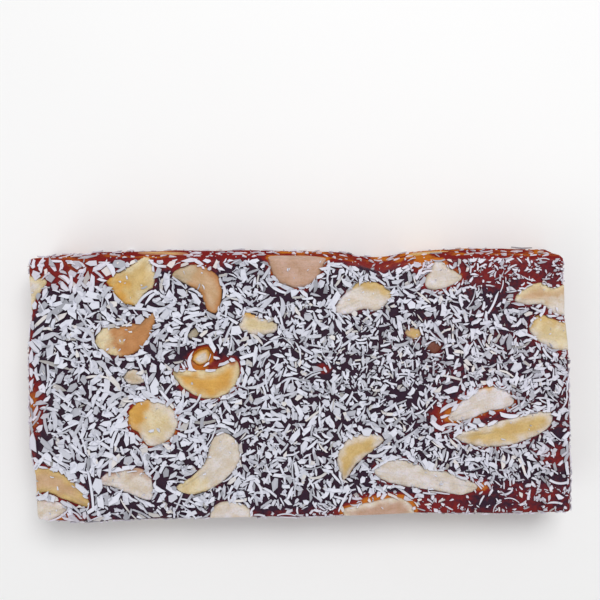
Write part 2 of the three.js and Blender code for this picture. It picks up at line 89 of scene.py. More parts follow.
WAVER = 0.2  # how far the knife strayed from a flat cut
SIDE_WAVES = (33, 19)  # length of its stray waves along a side and up it
SIDE_RIPPLES = (14.5, 11)
RIPPLE_SHARE = 0.6  # height of the ripples against the waves
END_WAVES = (29.5, 18)
SIDE_REACH = (0.7, 0.95)  # shares of the half width over which waver and tear set in
END_REACH = (0.85, 0.97)
TEAR = {"x": 15.5, "width": 15, "depth": 1.2, "face_depth": 1.3, "face_height": 5}
HOLLOW = {"x": -19.6, "y": 5.9, "length": 12, "width": 4.6, "depth": 0.9}


def srgb(red, green, blue):
    """A colour named by its 0 to 255 values, as linear light."""
    def linear(value):
        part = value / 255
        return part / 12.92 if part <= 0.04045 else ((part + 0.055) / 1.055) ** 2.4
    return (linear(red), linear(green), linear(blue))


# ------------------------------------------------------------------ kernels

KERNEL_TONES = {
    "golden": srgb(204, 174, 112),
    "butter": srgb(215, 198, 158),
    "tan": srgb(196, 162, 124),
    "rose": srgb(187, 152, 130),
    "cream": srgb(212, 201, 187),
    "pale": srgb(214, 206, 202),
    "ivory": srgb(209, 200, 189),
    "brown": srgb(184, 128, 74),
    "amber": srgb(208, 158, 70),
    "toffee": srgb(170, 96, 38),
    "stone": srgb(190, 170, 140),
    "moss": srgb(172, 162, 142),
    "clove": srgb(112, 56, 36),
}


@dataclass
class Finish:
    """The tones of a kernel and how it meets the paste.

    core is the tone of the middle and rim that of the outer edge. blush is a tone that
    spreads in from the side that blush_turn points to, over blush_reach of the kernel.
    halo is painted light: a glow of light through the paste round it. rough frays its outline by so
    many millimetres, and edge says that it reaches a cut and is trimmed there.
    """
    node: str
    core: str
    rim: str
    blush: str = ""
    blush_turn: float = 90.0
    blush_reach: float = 0.2
    halo: float = 0.25
    rough: float = 0.1
    edge: bool = True


FACE_DEPTH = 4.3  # the most that a kernel goes into the face
BASE_DEPTH = 3.9  # the most that one goes into the underside
LEAST_DEPTH = 1.6
DEPTH_PER_WIDTH = 0.45
BELOW_BASE = 1.0  # how far a kernel would go on below the underside, which trims it


def kernel_depth(width, most):
    """How deep a kernel goes: the wider, the deeper."""
    return min(most, LEAST_DEPTH + DEPTH_PER_WIDTH * width)


@dataclass
class Chip(Finish):
    """A kernel at the face, by its outline there in millimetres."""
    outline: tuple = ()

    def __post_init__(self):
        self.curve = smooth_outline(self.outline)
        self.middle = self.curve.mean(axis=0)
        away = self.curve - self.middle
        self.reach = np.hypot(*away.T).max()
        values, vectors = np.linalg.eigh(np.cov(away.T))
        self.axis = vectors[:, 1]
        self.half = np.sqrt(values[::-1] * 2)
        self.depth = kernel_depth(polygon_area(self.curve) / (2 * self.reach), FACE_DEPTH)


@dataclass
class Bean(Finish):
    """A kernel in the underside or a cut: a bent and tapered bean, in millimetres and degrees."""
    x: float = 0.0
    y: float = 0.0
    z: float = 0.0
    length: float = 10.0
    width: float = 5.0
    turn: float = 0.0
    bow: float = 0.0
    taper: float = 0.0
    up: float = 3.0
    down: float = 1.0


OUTLINE_STEPS = 16  # steps from corner to corner before the curve is spaced evenly
POINTS_PER_MM = 4.0
OUTLINE_POINTS = (40, 150)  # the fewest and the most


def smooth_outline(corners):
    """A closed curve through the corners, anticlockwise, in even steps."""
    corners = np.array(corners, dtype=float)
    if polygon_area(corners) < 0:
        corners = corners[::-1]
    before, start, end, after = (np.roll(corners, shift, axis=0)[:, None] for shift in (1, 0, -1, -2))
    t = np.linspace(0, 1, OUTLINE_STEPS, endpoint=False)[None, :, None]
    curve = 0.5 * (
        2 * start + (end - before) * t + (2 * before - 5 * start + 4 * end - after) * t**2
        + (3 * start - before - 3 * end + after) * t**3
    )
    curve = curve.reshape(-1, 2)
    steps = np.hypot(*(np.roll(curve, -1, axis=0) - curve).T)
    length = np.concatenate([[0], np.cumsum(steps)])
    count = int(np.clip(length[-1] * POINTS_PER_MM, *OUTLINE_POINTS))
    places = np.linspace(0, length[-1], count, endpoint=False)
    closed = np.vstack([curve, curve[:1]])
    return np.column_stack([np.interp(places, length, closed[:, axis]) for axis in (0, 1)])


def polygon_area(corners):
    x, y = np.asarray(corners).T
    return 0.5 * float(np.sum(x * np.roll(y, -1) - y * np.roll(x, -1)))


def chips():
    """The kernels of the face: core, rim, blush with its turn and reach, halo, rough, edge, outline."""
    return [
        Chip("nut_face_01", "golden", "butter", "amber", 200, 0.35, 0.3, 0.5, False, [
            (-39, 21.5), (-36, 23.5), (-31, 26), (-29.5, 23.5), (-29.5, 21), (-31.5, 18.5), (-33, 16.5),
            (-36, 17), (-38, 19.5),
        ]),
        Chip("nut_face_02", "tan", "brown", "stone", 160, 0.35, 0.1, 0.15, False, [
            (-26, 22.5), (-24, 24), (-20.5, 24.5), (-17, 22.5), (-16, 19), (-17, 15), (-19, 15.5),
            (-20.5, 19), (-24, 21),
        ]),
        Chip("nut_face_03", "rose", "rose", "amber", 90, 0.1, 0.7, 0.1, True, [
            (-6, 27.5), (4, 27.5), (4, 23.5), (1.5, 20.5), (-2, 20), (-5.5, 22),
        ]),
        Chip("nut_face_04", "cream", "pale", "golden", 60, 0.3, 0.2, 0.3, False, [
            (6.5, 15.5), (8.5, 19), (11.5, 21), (15, 21), (18, 18.5), (15.5, 15.5), (12, 15.5),
            (8.5, 14.5),
        ]),
        Chip("nut_face_05", "pale", "cream", "", 90, 0.5, 0.5, 0.2, False, [
            (24.5, 21), (25.5, 23.5), (27, 25.5), (29.5, 24), (32, 22), (29, 20), (25.5, 19.5),
        ]),
        Chip("nut_face_06", "tan", "butter", "cream", -90, 0.5, 0.2, 0.2, True, [
            (42.5, 17.5), (44.5, 20), (47.5, 21), (50, 20), (54, 20.5), (54.5, 15), (51, 14.5), (48, 16.5),
            (44.5, 16.5),
        ]),
        Chip("nut_face_07", "butter", "cream", "golden", 100, 0.3, 0.3, 0.15, True, [
            (45.5, 12), (47.5, 14.5), (51, 13.5), (54.5, 12), (55, 8), (50.5, 7.5), (47, 9.5),
        ]),
        Chip("nut_face_08", "brown", "brown", "butter", 190, 0.3, 0.2, 0.35, False, [
            (-41.5, 9), (-40, 12), (-37.5, 12), (-33, 13), (-29.5, 15), (-30, 11.5), (-32, 8), (-36, 6),
            (-39.5, 7),
        ]),
        Chip("nut_face_09", "butter", "cream", "amber", 90, 0.2, 0.1, 0.6, False, [
            (-12.5, 12.5), (-11, 15), (-8.5, 14), (-5, 13), (-5.5, 11), (-9, 10.5), (-11.5, 11),
        ]),
        Chip("nut_face_10", "amber", "butter", "toffee", 90, 0.12, 0.55, 0.12, False, [
            (-26, 3), (-22, 3.5), (-17.5, 3.5), (-13.5, 5.5), (-12.5, 2.5), (-14.5, -1), (-19, -2.5),
            (-23.5, -0.5),
        ]),
        Chip("nut_face_11", "cream", "amber", "", 90, 0.5, 1, 0.2, False, [
            (-22, 5.5), (-21, 7), (-19, 7.5), (-18.5, 5.5), (-20.5, 4.5),
        ]),
        Chip("nut_face_12", "butter", "cream", "amber", 160, 0.35, 0.8, 0.3, False, [
            (-34.5, -4.5), (-31.5, -2.5), (-26.5, -4), (-25, -7.5), (-27, -11), (-31, -12), (-33, -9.5),
            (-35, -7.5),
        ]),
        Chip("nut_face_13", "ivory", "cream", "butter", -130, 0.3, 0.15, 0.12, False, [
            (-16, -9), (-12.5, -12), (-13, -16), (-17, -20), (-22, -22), (-25.5, -20.5), (-22, -18),
            (-19.5, -15), (-18.5, -11.5),
        ]),
        Chip("nut_face_14", "tan", "golden", "", 90, 0.5, 0.4, 0.15, True, [
            (-56, -17), (-51, -16.5), (-46.5, -19), (-43.5, -22.5), (-43.5, -24.5), (-48, -23),
            (-52, -21.5), (-56, -22.5),
        ]),
        Chip("nut_face_15", "cream", "pale", "brown", 90, 0.1, 0.4, 0.2, True, [
            (-55.5, -24), (-52, -23), (-49, -23.5), (-47.5, -25), (-50.5, -27), (-55.5, -28.5),
        ]),
        Chip("nut_face_16", "cream", "pale", "rose", 90, 0.3, 0.15, 0.08, False, [
            (-41, -19.5), (-38.5, -17), (-33, -16.5), (-30.5, -18.5), (-30.5, -23), (-34.5, -22),
            (-38, -20.5),
        ]),
        Chip("nut_face_17", "pale", "cream", "", 90, 0.5, 0.2, 0.1, True, [
            (-18.5, -25.5), (-16.5, -23.5), (-13, -23.5), (-10.5, -25), (-10.5, -28), (-14.5, -29.5),
            (-18, -28.5),
        ]),
        Chip("nut_face_18", "golden", "cream", "amber", -60, 0.2, 0.2, 0.25, False, [
            (8, -12), (10.5, -10), (14.5, -9.5), (16.5, -11), (13, -14), (11, -16), (8.5, -19), (7.5, -17),
            (7, -14.5),
        ]),
        Chip("nut_face_19", "pale", "ivory", "", 90, 0.5, 0.35, 0.2, False, [
            (14.5, -17), (18.5, -14.5), (24, -16), (30, -17.5), (35.5, -20), (32.5, -22), (26, -21),
            (17.5, -19.5),
        ]),
        Chip("nut_face_20", "rose", "cream", "pale", -90, 0.3, 1, 0.15, True, [
            (8.5, -25), (11.5, -24), (15.5, -23), (19.5, -22.5), (22.5, -24.5), (21.5, -27), (15, -27.5),
            (9.5, -27),
        ]),
        Chip("nut_face_21", "pale", "pale", "amber", 110, 0.08, 0.7, 0.1, False, [
            (29.5, -6), (32, -3), (35.5, -0.5), (39.5, 0), (42.5, -2), (42, -4), (37.5, -5), (34, -6.5),
            (31, -7),
        ]),
        Chip("nut_face_22", "golden", "cream", "", 90, 0.5, 0.2, 0.15, False, [
            (30.5, -10), (34.5, -8.5), (39.5, -7), (45, -5.5), (50, -5), (50, -8), (46, -10.5), (41, -12),
            (35, -12),
        ]),
        Chip("nut_face_23", "golden", "tan", "", 90, 0.5, 0.15, 0.3, False, [
            (20.5, 11), (22.5, 12), (24, 11), (22.5, 9.5),
        ]),
        Chip("nut_face_24", "clove", "clove", "", 90, 0.5, 0.1, 0.3, False, [
            (25, 8), (26.5, 9.5), (28, 8), (26.5, 6.5),
        ]),
        Chip("nut_face_25", "ivory", "butter", "", 90, 0.5, 0.3, 0.15, True, [
            (-56.5, 21.5), (-52.5, 22), (-51, 21), (-53, 18), (-54, 15.5), (-56.5, 15),
        ]),
        Chip("nut_face_26", "stone", "cream", "", 90, 0.5, 0.1, 0.5, False, [
            (-36, 2), (-34, 3.5), (-31.5, 1.5), (-32.5, 0.5), (-34.5, 0.5),
        ]),
        Chip("nut_face_27", "moss", "moss", "", 90, 0.5, 0.1, 0.4, False, [
            (-23, 10.5), (-21.5, 12), (-20.5, 11), (-22, 9.5),
        ]),
    ]


def base_beans():
    """The kernels of the underside: core, rim, x, y, length, width, turn, bow and taper."""
    rows = [
        ("golden", "butter", -38, 13.5, 13, 6, -30, 1, 0.1),
        ("cream", "pale", -12.5, -9, 12, 5.6, 62, 1.2, 0.2),
        ("tan", "golden", 19.5, 15.5, 14.4, 5.4, 12, -0.9, 0.15),
        ("pale", "cream", 43.5, 3.5, 10.4, 7.4, 40, 0, 0.2),
        ("cream", "ivory", -40.5, -14.5, 15, 5, 8, 1.1, 0),
        ("golden", "cream", 31, -13.5, 12.4, 6.4, -52, 0.5, 0.1),
        ("rose", "cream", -16, 19, 9, 5.4, 15, 0.3, 0),
        ("tan", "butter", 9.5, -17.5, 8.2, 5, -20, 0.4, 0.2),
    ]
    return [
        Bean(f"nut_base_{index:02d}", core, rim, x=x, y=y, length=length, width=width, turn=turn, bow=bow,
             taper=taper, up=kernel_depth(width, BASE_DEPTH), down=BELOW_BASE)
        for index, (core, rim, x, y, length, width, turn, bow, taper) in enumerate(rows, 1)
    ]


CUT_MIDDLES = {"near": -26, "far": 25, "right": 53.4, "left": -54.6}  # of the kernels, at the face


def side_beans():
    """The kernels of the cuts: cut, place along it, height, length, depth, reach, core and rim."""
    rows = [
        ("near", -31, 5.6, 12, 3, 3.4, "cream", "butter"),
        ("near", 32.5, 7.4, 10.4, 3.6, 3.2, "golden", "cream"),
        ("far", -29, 5.8, 11, 2.8, 3, "amber", "toffee"),
        ("far", 26.5, 5.6, 9, 2.8, 3, "golden", "amber"),
        ("right", -8, 6.6, 9.4, 3, 3.4, "cream", "ivory"),
        ("left", 4, 7.2, 8.4, 3.2, 3, "golden", "butter"),
    ]
    made = []
    for index, (side, at, z, length, depth, reach, core, rim) in enumerate(rows, 1):
        down = 1 - z / THICKNESS
        middle = CUT_MIDDLES[side]
        x, y, turn = {
            "near": (at, middle + NEAR_LEAN * down, 0),
            "far": (at, middle + float(cut_line(FAR_LEAN, at)) * down, 0),
            "right": (middle, at, 90),
            "left": (middle, at, 90),
        }[side]
        made.append(Bean(f"nut_side_{index:02d}", core, rim, x=x, y=y, z=z, length=length, width=2 * reach,
                         turn=turn, up=depth, down=depth))
    return made


def cut_line(points, along):
    """The value of a line of (place, value) points at each place along it."""
    places, offsets = zip(*sorted(points))
    return np.interp(along, places, offsets)


CHIPS = chips()
BASE_BEANS = base_beans()
SIDE_BEANS = side_beans()
BEANS = BASE_BEANS + SIDE_BEANS


PATCH_EDGE = 1.5  # a patch fades to nothing at this many times its reach


@dataclass
class Patch:
    """An oval of the face, in millimetres, and the amount of something in its middle."""
    x: float
    y: float
    reach_x: float
    reach_y: float
    amount: float

    def at(self, x, y):
        away = np.hypot((x - self.x) / self.reach_x, (y - self.y) / self.reach_y)
        return self.amount * np.clip(PATCH_EDGE - away, 0, 1)


FACE_CEILING = 1.15  # how far above the face any coconut may reach
CUT_CEILING = 0.5  # how far out of a cut
FACE_COVER = 0.52  # share of the open face under coconut
CLUSTERS = ((3.6, 0.55), (1.5, 0.75))  # size and strength of the thick and thin places
PAINTED_SHADE_PATCH = 2.5  # size of the patches of less and of more painted shade over the coconut's flakes
SIDE_COVER = 0.12  # share of a cut under coconut, away from its upper and lower edges
FAR_SHARE = 0.12  # how much of the other cuts' coconut the far cut has
SIDE_TRIES = {"near": 1.0, "far": 0.2, "left": 0.6, "right": 0.6}  # share of the flakes drawn for a cut
KERNEL_MARGIN = -0.25  # coconut may lap this far over the rim of a kernel in the face
KERNEL_CLEARANCE = 0.12  # and it stays this far off one in a cut or the underside

# Where the coconut lies thin (below 0) or thick (above 0).
COVER_PATCHES = [
    Patch(-47, 23, 8, 3.5, -0.12),
    Patch(-24, 24, 8, 1.8, -0.3),
    Patch(43, 22.5, 13, 3.2, -0.22),
    Patch(38, 17, 8, 3.5, -0.2),
    Patch(45, -22.5, 11, 3.4, -0.42),
    Patch(53, -12, 2.5, 9, -0.3),
    Patch(53.5, 6, 2, 10, -0.1),
    Patch(10, -26, 45, 1.3, -0.35),
    Patch(-54.2, -3, 1.6, 18, -0.35),
    Patch(-4, 18.2, 3, 1.3, -0.8),
    Patch(21, -1.6, 2.6, 1.8, -0.7),
    Patch(4.5, 3.6, 1.8, 1.1, -0.8),
    Patch(HOLLOW["x"], HOLLOW["y"], 6, 2.2, -0.9),
    Patch(39.5, -6.2, 5, 1.1, -0.7),
    Patch(29, -23, 8, 2, -0.4),
    Patch(15.5, -22.6, 6, 1.1, -0.6),
    Patch(28.5, -6, 2.6, 2.4, -0.5),
    Patch(-28.5, -21.5, 3, 3, -0.3),
    Patch(-2, -22.5, 8, 3, -0.2),
    Patch(-44, 8, 8, 9, 0.22),
    Patch(-43, -13, 6, 5, 0.15),
    Patch(44, 1, 6, 5, 0.15),
    Patch(-22, 16, 7, 4, 0.15),
]

# The largest flakes: x, y, length, width in millimetres and turn in degrees.
LARGE_FLAKES = [
    (-50.5, 7.5, 4.5, 2, 85), (-52, 3, 5, 1.5, 88), (-48.5, 14, 4, 1.5, 25), (-32.5, 13.5, 2.5, 2, 60),
    (-38, 16.5, 3, 1.5, 25), (-41.5, 16.5, 2.5, 2, 20), (-30, 4, 2.5, 2.5, 80), (-29.5, 0, 4, 2, 80),
    (-48.5, 2, 3.5, 1.5, 60), (-46, 0, 3, 1.5, 45), (-25, 14.5, 2.5, 1.5, -15), (-24, 19, 3, 1.5, -30),
    (44, 11, 3, 2, 15), (41.5, 9, 4, 1.5, 10), (43, 4, 3, 2, 35), (33, 7.5, 3, 1.5, 80),
    (30, -0.5, 4.5, 2, 15), (26, -16, 3, 2, 10), (23, -21, 2.5, 1.5, -15), (13, -9, 2.5, 2, 70),
    (-35, -15, 2.5, 2, 40), (-45.5, -5, 3, 2, 20), (7, -5, 2, 2, 30), (14.5, -6, 2.5, 2, 60),
    (0.5, -12, 3.5, 1.5, 75), (44.5, -3.5, 2.5, 1.5, 20), (-42, -9.5, 3, 1.5, 30),
]
LONG_FLAKES = [
    (-45, 18, 4, 1, 48), (-42, 20, 5, 1, 10), (-31.5, 18, 4.5, 0.5, 80), (-28, 16, 6, 1, 13),
    (-41.5, 2, 5.5, 0.5, 3), (30, 2, 4, 0.5, -50), (-4, 16, 4, 1, 85), (-15, 17.5, 3.5, 0.5, 30),
]

# Where the flakes are small.
FINE_PATCHES = [
    Patch(43, 22.5, 14, 4, 0.4),
    Patch(40, -22, 14, 4, 0.3),
    Patch(-4, -25, 50, 1.6, 0.3),
    Patch(14, 4, 12, 8, 0.2),
]

# Where the paste is thin enough to glow.
GLOW_PATCHES = [
    Patch(44, 6, 22, 26, 0.14),
    Patch(-54.6, -3, 1.4, 22, 0.25),
    Patch(-19.6, 5.2, 4.5, 2.4, 0.3),
    Patch(-50, -26.6, 7, 0.9, 0.6),
    Patch(20, -25.6, 32, 1.2, 0.25),
    Patch(-47, 23, 8, 3, 0.5),
    Patch(-24, 24.6, 8, 1.2, 0.4),
    Patch(42, 23, 14, 3, 0.2),
    Patch(28.5, -6, 2.2, 2.4, 0.5),
    Patch(36.6, -20.3, 1.4, 1.2, 0.7),
    Patch(50.5, -14.5, 3, 2.4, 0.3),
    Patch(47, -22, 8, 3, 0.25),
    Patch(-53.5, -4, 2, 5, 0.5),
    Patch(4.5, 3.6, 1.6, 1, 0.6),
    Patch(26, -23.4, 7, 1.6, 0.3),
    Patch(15.5, -22.6, 6, 1.0, 0.5),
    Patch(24.5, 24.5, 3.5, 1.6, 0.6),
]


# ------------------------------------------------------------------ the slab's form

def smoothstep(value, low, high):
    part = np.clip((value - low) / (high - low), 0, 1)
    return part * part * (3 - 2 * part)


def swapped(points):
    return [(y, x) for x, y in points]


def wave(place, height, lengths):
    return np.sin(2 * np.pi * (place / lengths[0] + height / lengths[1]))


def torn_share(x):
    """How much of the tear's depth the far edge has at each place along it."""
    tear = (x - TEAR["x"]) / (TEAR["width"] / 2)
    return np.exp(-2 * tear * tear)


def to_slab(x, y, z):
    """Moves points of the upright block to their places in the cut slab."""
    across = (y + HALF_WIDTH) / (2 * HALF_WIDTH)
    along = (x + HALF_LENGTH) / (2 * HALF_LENGTH)
    near, far = cut_line(NEAR_CUT, x), cut_line(FAR_CUT, x)
    left, right = cut_line(swapped(LEFT_CUT), y), cut_line(swapped(RIGHT_CUT), y)
    x, y = left + (right - left) * along, near + (far - near) * across
    down = 1 - np.clip(z / THICKNESS, 0, 1)
    at_side = smoothstep(np.abs(y) / HALF_WIDTH, *SIDE_REACH)
    at_end = smoothstep(np.abs(x) / HALF_LENGTH, *END_REACH)
    torn = np.where(y > 0, at_side * torn_share(x), 0)
    near_face = smoothstep(z, THICKNESS - TEAR["face_height"], THICKNESS)
    midway = np.sin(np.pi * np.clip(z / THICKNESS, 0, 1))
    side_waver = WAVER * (wave(x, z, SIDE_WAVES) + RIPPLE_SHARE * wave(x, -z, SIDE_RIPPLES))
    end_waver = WAVER * wave(y, z, END_WAVES)
    far_part = np.clip(0.5 + y / (2 * HALF_WIDTH), 0, 1)
    right_part = np.clip(0.5 + x / (2 * HALF_LENGTH), 0, 1)
    far_lean = cut_line(FAR_LEAN, x)
    new_y = y + down * (NEAR_LEAN + (far_lean - NEAR_LEAN) * far_part) + at_side * midway * side_waver
    new_y = new_y - torn * (TEAR["depth"] + TEAR["face_depth"] * near_face)
    new_x = x + down * (RIGHT_LEAN * right_part - LEFT_LEAN * (1 - right_part)) + at_end * midway * end_waver
    return new_x, new_y, z


def inside_cuts(x, y):
    """How far inside the four cuts each point of the face lies, in millimetres."""
    torn = (TEAR["depth"] + TEAR["face_depth"]) * torn_share(x)
    return np.minimum.reduce([
        y - cut_line(NEAR_CUT, x),
        cut_line(FAR_CUT, x) - torn - y,
        x - cut_line(swapped(LEFT_CUT), y),
        cut_line(swapped(RIGHT_CUT), y) - x,
    ])


def bean_plan(bean, x, y):
    """Each point in a bean's own plan: along it, across it (both 1 at the rim)."""
    turn = math.radians(bean.turn)
    along = ((x - bean.x) * math.cos(turn) + (y - bean.y) * math.sin(turn)) / (bean.length / 2)
    across = (y - bean.y) * math.cos(turn) - (x - bean.x) * math.sin(turn)
    half = (bean.width / 2) * (1 - bean.taper * np.clip(along, -1, 1))
    bent = (across - bean.bow * (0.5 - along * along)) / half
    return along, bent


def outside_bean(bean, x, y, z):
    """Roughly how far each point lies outside a bean, in millimetres."""
    along, bent = bean_plan(bean, x, y)
    height = (z - bean.z) / np.where(z > bean.z, bean.up, bean.down)
    return (np.sqrt(along**2 + bent**2 + height**2) - 1) * min(bean.length, bean.width) / 2


def outside_curve(curve, x, y):
    """How far each place lies outside a closed curve; negative inside it."""
    x, y = np.asarray(x, dtype=float), np.asarray(y, dtype=float)
    nearest = np.full(x.shape, np.inf)
    inside = np.zeros(x.shape, dtype=bool)
    for (ax, ay), (bx, by) in zip(curve, np.roll(curve, -1, axis=0)):
        span_x, span_y = bx - ax, by - ay
        part = np.clip(((x - ax) * span_x + (y - ay) * span_y) / (span_x**2 + span_y**2), 0, 1)
        nearest = np.minimum(nearest, np.hypot(x - ax - part * span_x, y - ay - part * span_y))
        if ay != by:
            inside ^= ((ay > y) != (by > y)) & (x < ax + (y - ay) / span_y * span_x)
    return np.where(inside, -nearest, nearest)


CLOSE = 3.0  # a distance from a chip is worked out exactly up to this


def outside_chip(chip, x, y):
    """How far each place of the face lies outside a chip; a guess that is too small when far away."""
    beyond = np.hypot(x - chip.middle[0], y - chip.middle[1]) - chip.reach
    near = beyond < CLOSE
    away = np.array(beyond, dtype=float)
    away[near] = outside_curve(chip.curve, x[near], y[near])
    return away


def outside_chips(x, y):
    return np.minimum.reduce([outside_chip(chip, x, y) for chip in CHIPS])


# ------------------------------------------------------------------ mesh helpers

SMOOTH_ANGLE = 40  # degrees; sharper edges of paste and kernels stay sharp
NOTHING = 1e-9  # keeps a length from being divided by zero


def coordinates(mesh):
    flat = np.empty(len(mesh.vertices) * 3)
    mesh.vertices.foreach_get("co", flat)
    return flat.reshape(-1, 3)


def set_coordinates(mesh, points):
    mesh.vertices.foreach_set("co", np.asarray(points, dtype=np.float32).ravel())
    mesh.update()


def new_object(name, mesh):
    piece = bpy.data.objects.new(name, mesh)
    bpy.context.scene.collection.objects.link(piece)
    return piece


def mesh_from(bm, name):
    mesh = bpy.data.meshes.new(name)
    bm.to_mesh(mesh)
    bm.free()
    return mesh


def add_attribute(mesh, name, kind, values):
    attribute = mesh.attributes.new(name, kind, "POINT")
    field = {"FLOAT": "value", "FLOAT_COLOR": "color", "FLOAT_VECTOR": "vector"}[kind]
    attribute.data.foreach_set(field, np.asarray(values, dtype=np.float32).ravel())


def ripple(points, size, seed=0.0):
    """Smooth noise from -1 to 1 with features of about the given size, at each point."""
    offset = Vector((seed, seed * 1.7, -seed))
    return np.array([noise.noise(Vector(point) / size + offset) for point in points])


def finish_piece(piece, material, nodes=(), smooth=False):
    """Scales a finished mesh to metres and hands the piece to the frame."""
    mesh = piece.data
    mesh.materials.clear()
    mesh.materials.append(material)
    set_coordinates(mesh, coordinates(mesh) * MM)
    if smooth:
        mesh.polygons.foreach_set("use_smooth", [True] * len(mesh.polygons))
        mesh.set_sharp_from_angle(angle=math.radians(SMOOTH_ANGLE))
    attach(piece, "root")
    if nodes:
        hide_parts(*nodes)


def boolean(piece, other, operation):
    """Joins or cuts one mesh by another and keeps the result."""
    modifier = piece.modifiers.new("join", "BOOLEAN")
    modifier.object = other
    modifier.operation = operation
    modifier.solver = "MANIFOLD"
    depsgraph = bpy.context.evaluated_depsgraph_get()
    cut = bpy.data.meshes.new_from_object(piece.evaluated_get(depsgraph))
    piece.modifiers.clear()
    old, piece.data = piece.data, cut
    bpy.data.meshes.remove(old)
    if not len(cut.polygons):
        raise RuntimeError(f"{piece.name}: nothing is left after {operation.lower()}")


def joined(name, pieces):
    """Puts the meshes of several separate pieces into one."""
    bm = bmesh.new()
    for piece in pieces:
        bm.from_mesh(piece.data)
        drop(piece)
    return new_object(name, mesh_from(bm, name))


def drop(piece):
    mesh = piece.data
    bpy.data.objects.remove(piece)
    bpy.data.meshes.remove(mesh)


# ------------------------------------------------------------------ shader maths

class Flow:
    """A number that varies over a surface, so that shader maths reads as an expression."""

    def __init__(self, recipe, socket):
        self.recipe = recipe
        self.socket = socket

    def _math(self, operation, first, second=0.0, clamp=False):
        node = self.recipe.node(
            "ShaderNodeMath", {"operation": operation, "use_clamp": clamp}, {0: first, 1: second}
        )
        return Flow(self.recipe, node.outputs[0])

    def __add__(self, other):
        return self._math("ADD", self, other)

    __radd__ = __add__

    def __sub__(self, other):
        return self._math("SUBTRACT", self, other)

    def __rsub__(self, other):
        return self._math("SUBTRACT", other, self)

    def __mul__(self, other):
        return self._math("MULTIPLY", self, other)

    __rmul__ = __mul__

    def clamped(self):
        return self._math("ADD", self, 0.0, clamp=True)


class Recipe:
    """A material under construction."""

    def __init__(self, name):
        self.material = bpy.data.materials.new(name)
        self.material.use_nodes = True
        self.nodes = self.material.node_tree.nodes
        self.links = self.material.node_tree.links
        self.nodes.clear()
        self.shader = self.node("ShaderNodeBsdfPrincipled")
        output = self.node("ShaderNodeOutputMaterial")
        self.links.new(self.shader.outputs["BSDF"], output.inputs["Surface"])

    def node(self, kind, settings=None, sockets=None):
        """Adds a node: its settings first, then the values or links of its sockets."""
        made = self.nodes.new(kind)
        for key, value in (settings or {}).items():
            setattr(made, key, value)
        for key, value in (sockets or {}).items():
            self.feed(made.inputs[key], value)
        return made

    def feed(self, socket, value):
        if isinstance(value, Flow):
            value = value.socket
        if isinstance(value, bpy.types.NodeSocket):
            self.links.new(value, socket)
        else:
            socket.default_value = value

    def set(self, **sockets):
        for key, value in sockets.items():
            self.feed(self.shader.inputs[key.replace("_", " ")], value)

    def attribute(self, name, output):
        return self.node("ShaderNodeAttribute", {"attribute_name": name}).outputs[output]

    def place(self, size, stretch=(1, 1, 1), source=None):
        """Coordinates in which one unit is size millimetres, squeezed along each axis by stretch."""
        scale = Vector(stretch) / size
        if source is None:
            source = self.node("ShaderNodeTexCoord").outputs["Object"]
            scale = scale / MM
        made = self.node("ShaderNodeMapping", {}, {"Vector": source, "Scale": tuple(scale)})
        return made.outputs["Vector"]

    def noise(self, where, detail, roughness=0.5):
        sockets = {"Vector": where, "Scale": 1.0, "Detail": detail, "Roughness": roughness}
        return Flow(self, self.node("ShaderNodeTexNoise", {}, sockets).outputs["Fac"])

    def cells(self, where):
        made = self.node("ShaderNodeTexVoronoi", {"feature": "F1"}, {"Vector": where, "Scale": 1.0})
        return Flow(self, made.outputs["Distance"])

    def grey(self, shade):
        return self.node("ShaderNodeCombineColor", {}, {0: shade, 1: shade, 2: shade}).outputs[0]

    def step(self, value, low, high):
        made = self.node(
            "ShaderNodeMapRange",
            {"interpolation_type": "SMOOTHSTEP"},
            {"Value": value, "From Min": low, "From Max": high},
        )
        return Flow(self, made.outputs["Result"])

    def mix(self, amount, first, second, blend="MIX"):
        made = self.node(
            "ShaderNodeMix", {"data_type": "RGBA", "blend_type": blend}, {0: amount, 6: first, 7: second}
        )
        return made.outputs[2]

    def bump(self, height, distance_mm, strength):
        made = self.node(
            "ShaderNodeBump", {}, {"Height": height, "Distance": distance_mm * MM, "Strength": strength}
        )
        return made.outputs["Normal"]


def opaque(colour):
    return (*colour, 1.0)


# Sizes of the patterns in the paste, in millimetres.
PASTE_CLOUD = 3.2
PASTE_FLECK = 0.7
PASTE_GRAIN = 0.35
RED_RANGE = (0.08, 0.5)  # the light over which the deep paste turns red
AMBER_RANGE = (0.55, 1.0)  # and then amber


def paste_material(settings):
    """Moist dark paste that turns red and then amber where light comes through it."""
    recipe = Recipe("paste")
    glow = Flow(recipe, recipe.attribute("glow", "Fac"))
    moist = Flow(recipe, recipe.attribute("moist", "Fac"))
    cloud = recipe.noise(recipe.place(PASTE_CLOUD), detail=4)
    fleck = recipe.noise(recipe.place(PASTE_FLECK), detail=3)
    grain = recipe.noise(recipe.place(PASTE_GRAIN), detail=2)
    light = (glow + (cloud - 0.5) * 0.6 + (fleck - 0.5) * 0.5).clamped()
    red = recipe.mix(recipe.step(light, *RED_RANGE), opaque(settings.paste_deep), opaque(settings.paste_red))
    colour = recipe.mix(recipe.step(light, *AMBER_RANGE), red, opaque(settings.paste_amber))
    recipe.set(Base_Color=colour, Roughness=fleck * 0.3 + 0.4, Coat_Weight=moist * fleck * 0.5)
    recipe.set(Normal=recipe.bump(cloud * 0.5 + grain * 0.5, distance_mm=0.12, strength=0.6))
    recipe.set(Subsurface_Weight=0.12, Subsurface_Radius=(1.0, 0.25, 0.08), Subsurface_Scale=1.2 * MM)
    recipe.set(Specular_IOR_Level=0.0, Coat_Roughness=0.25)
    return recipe.material


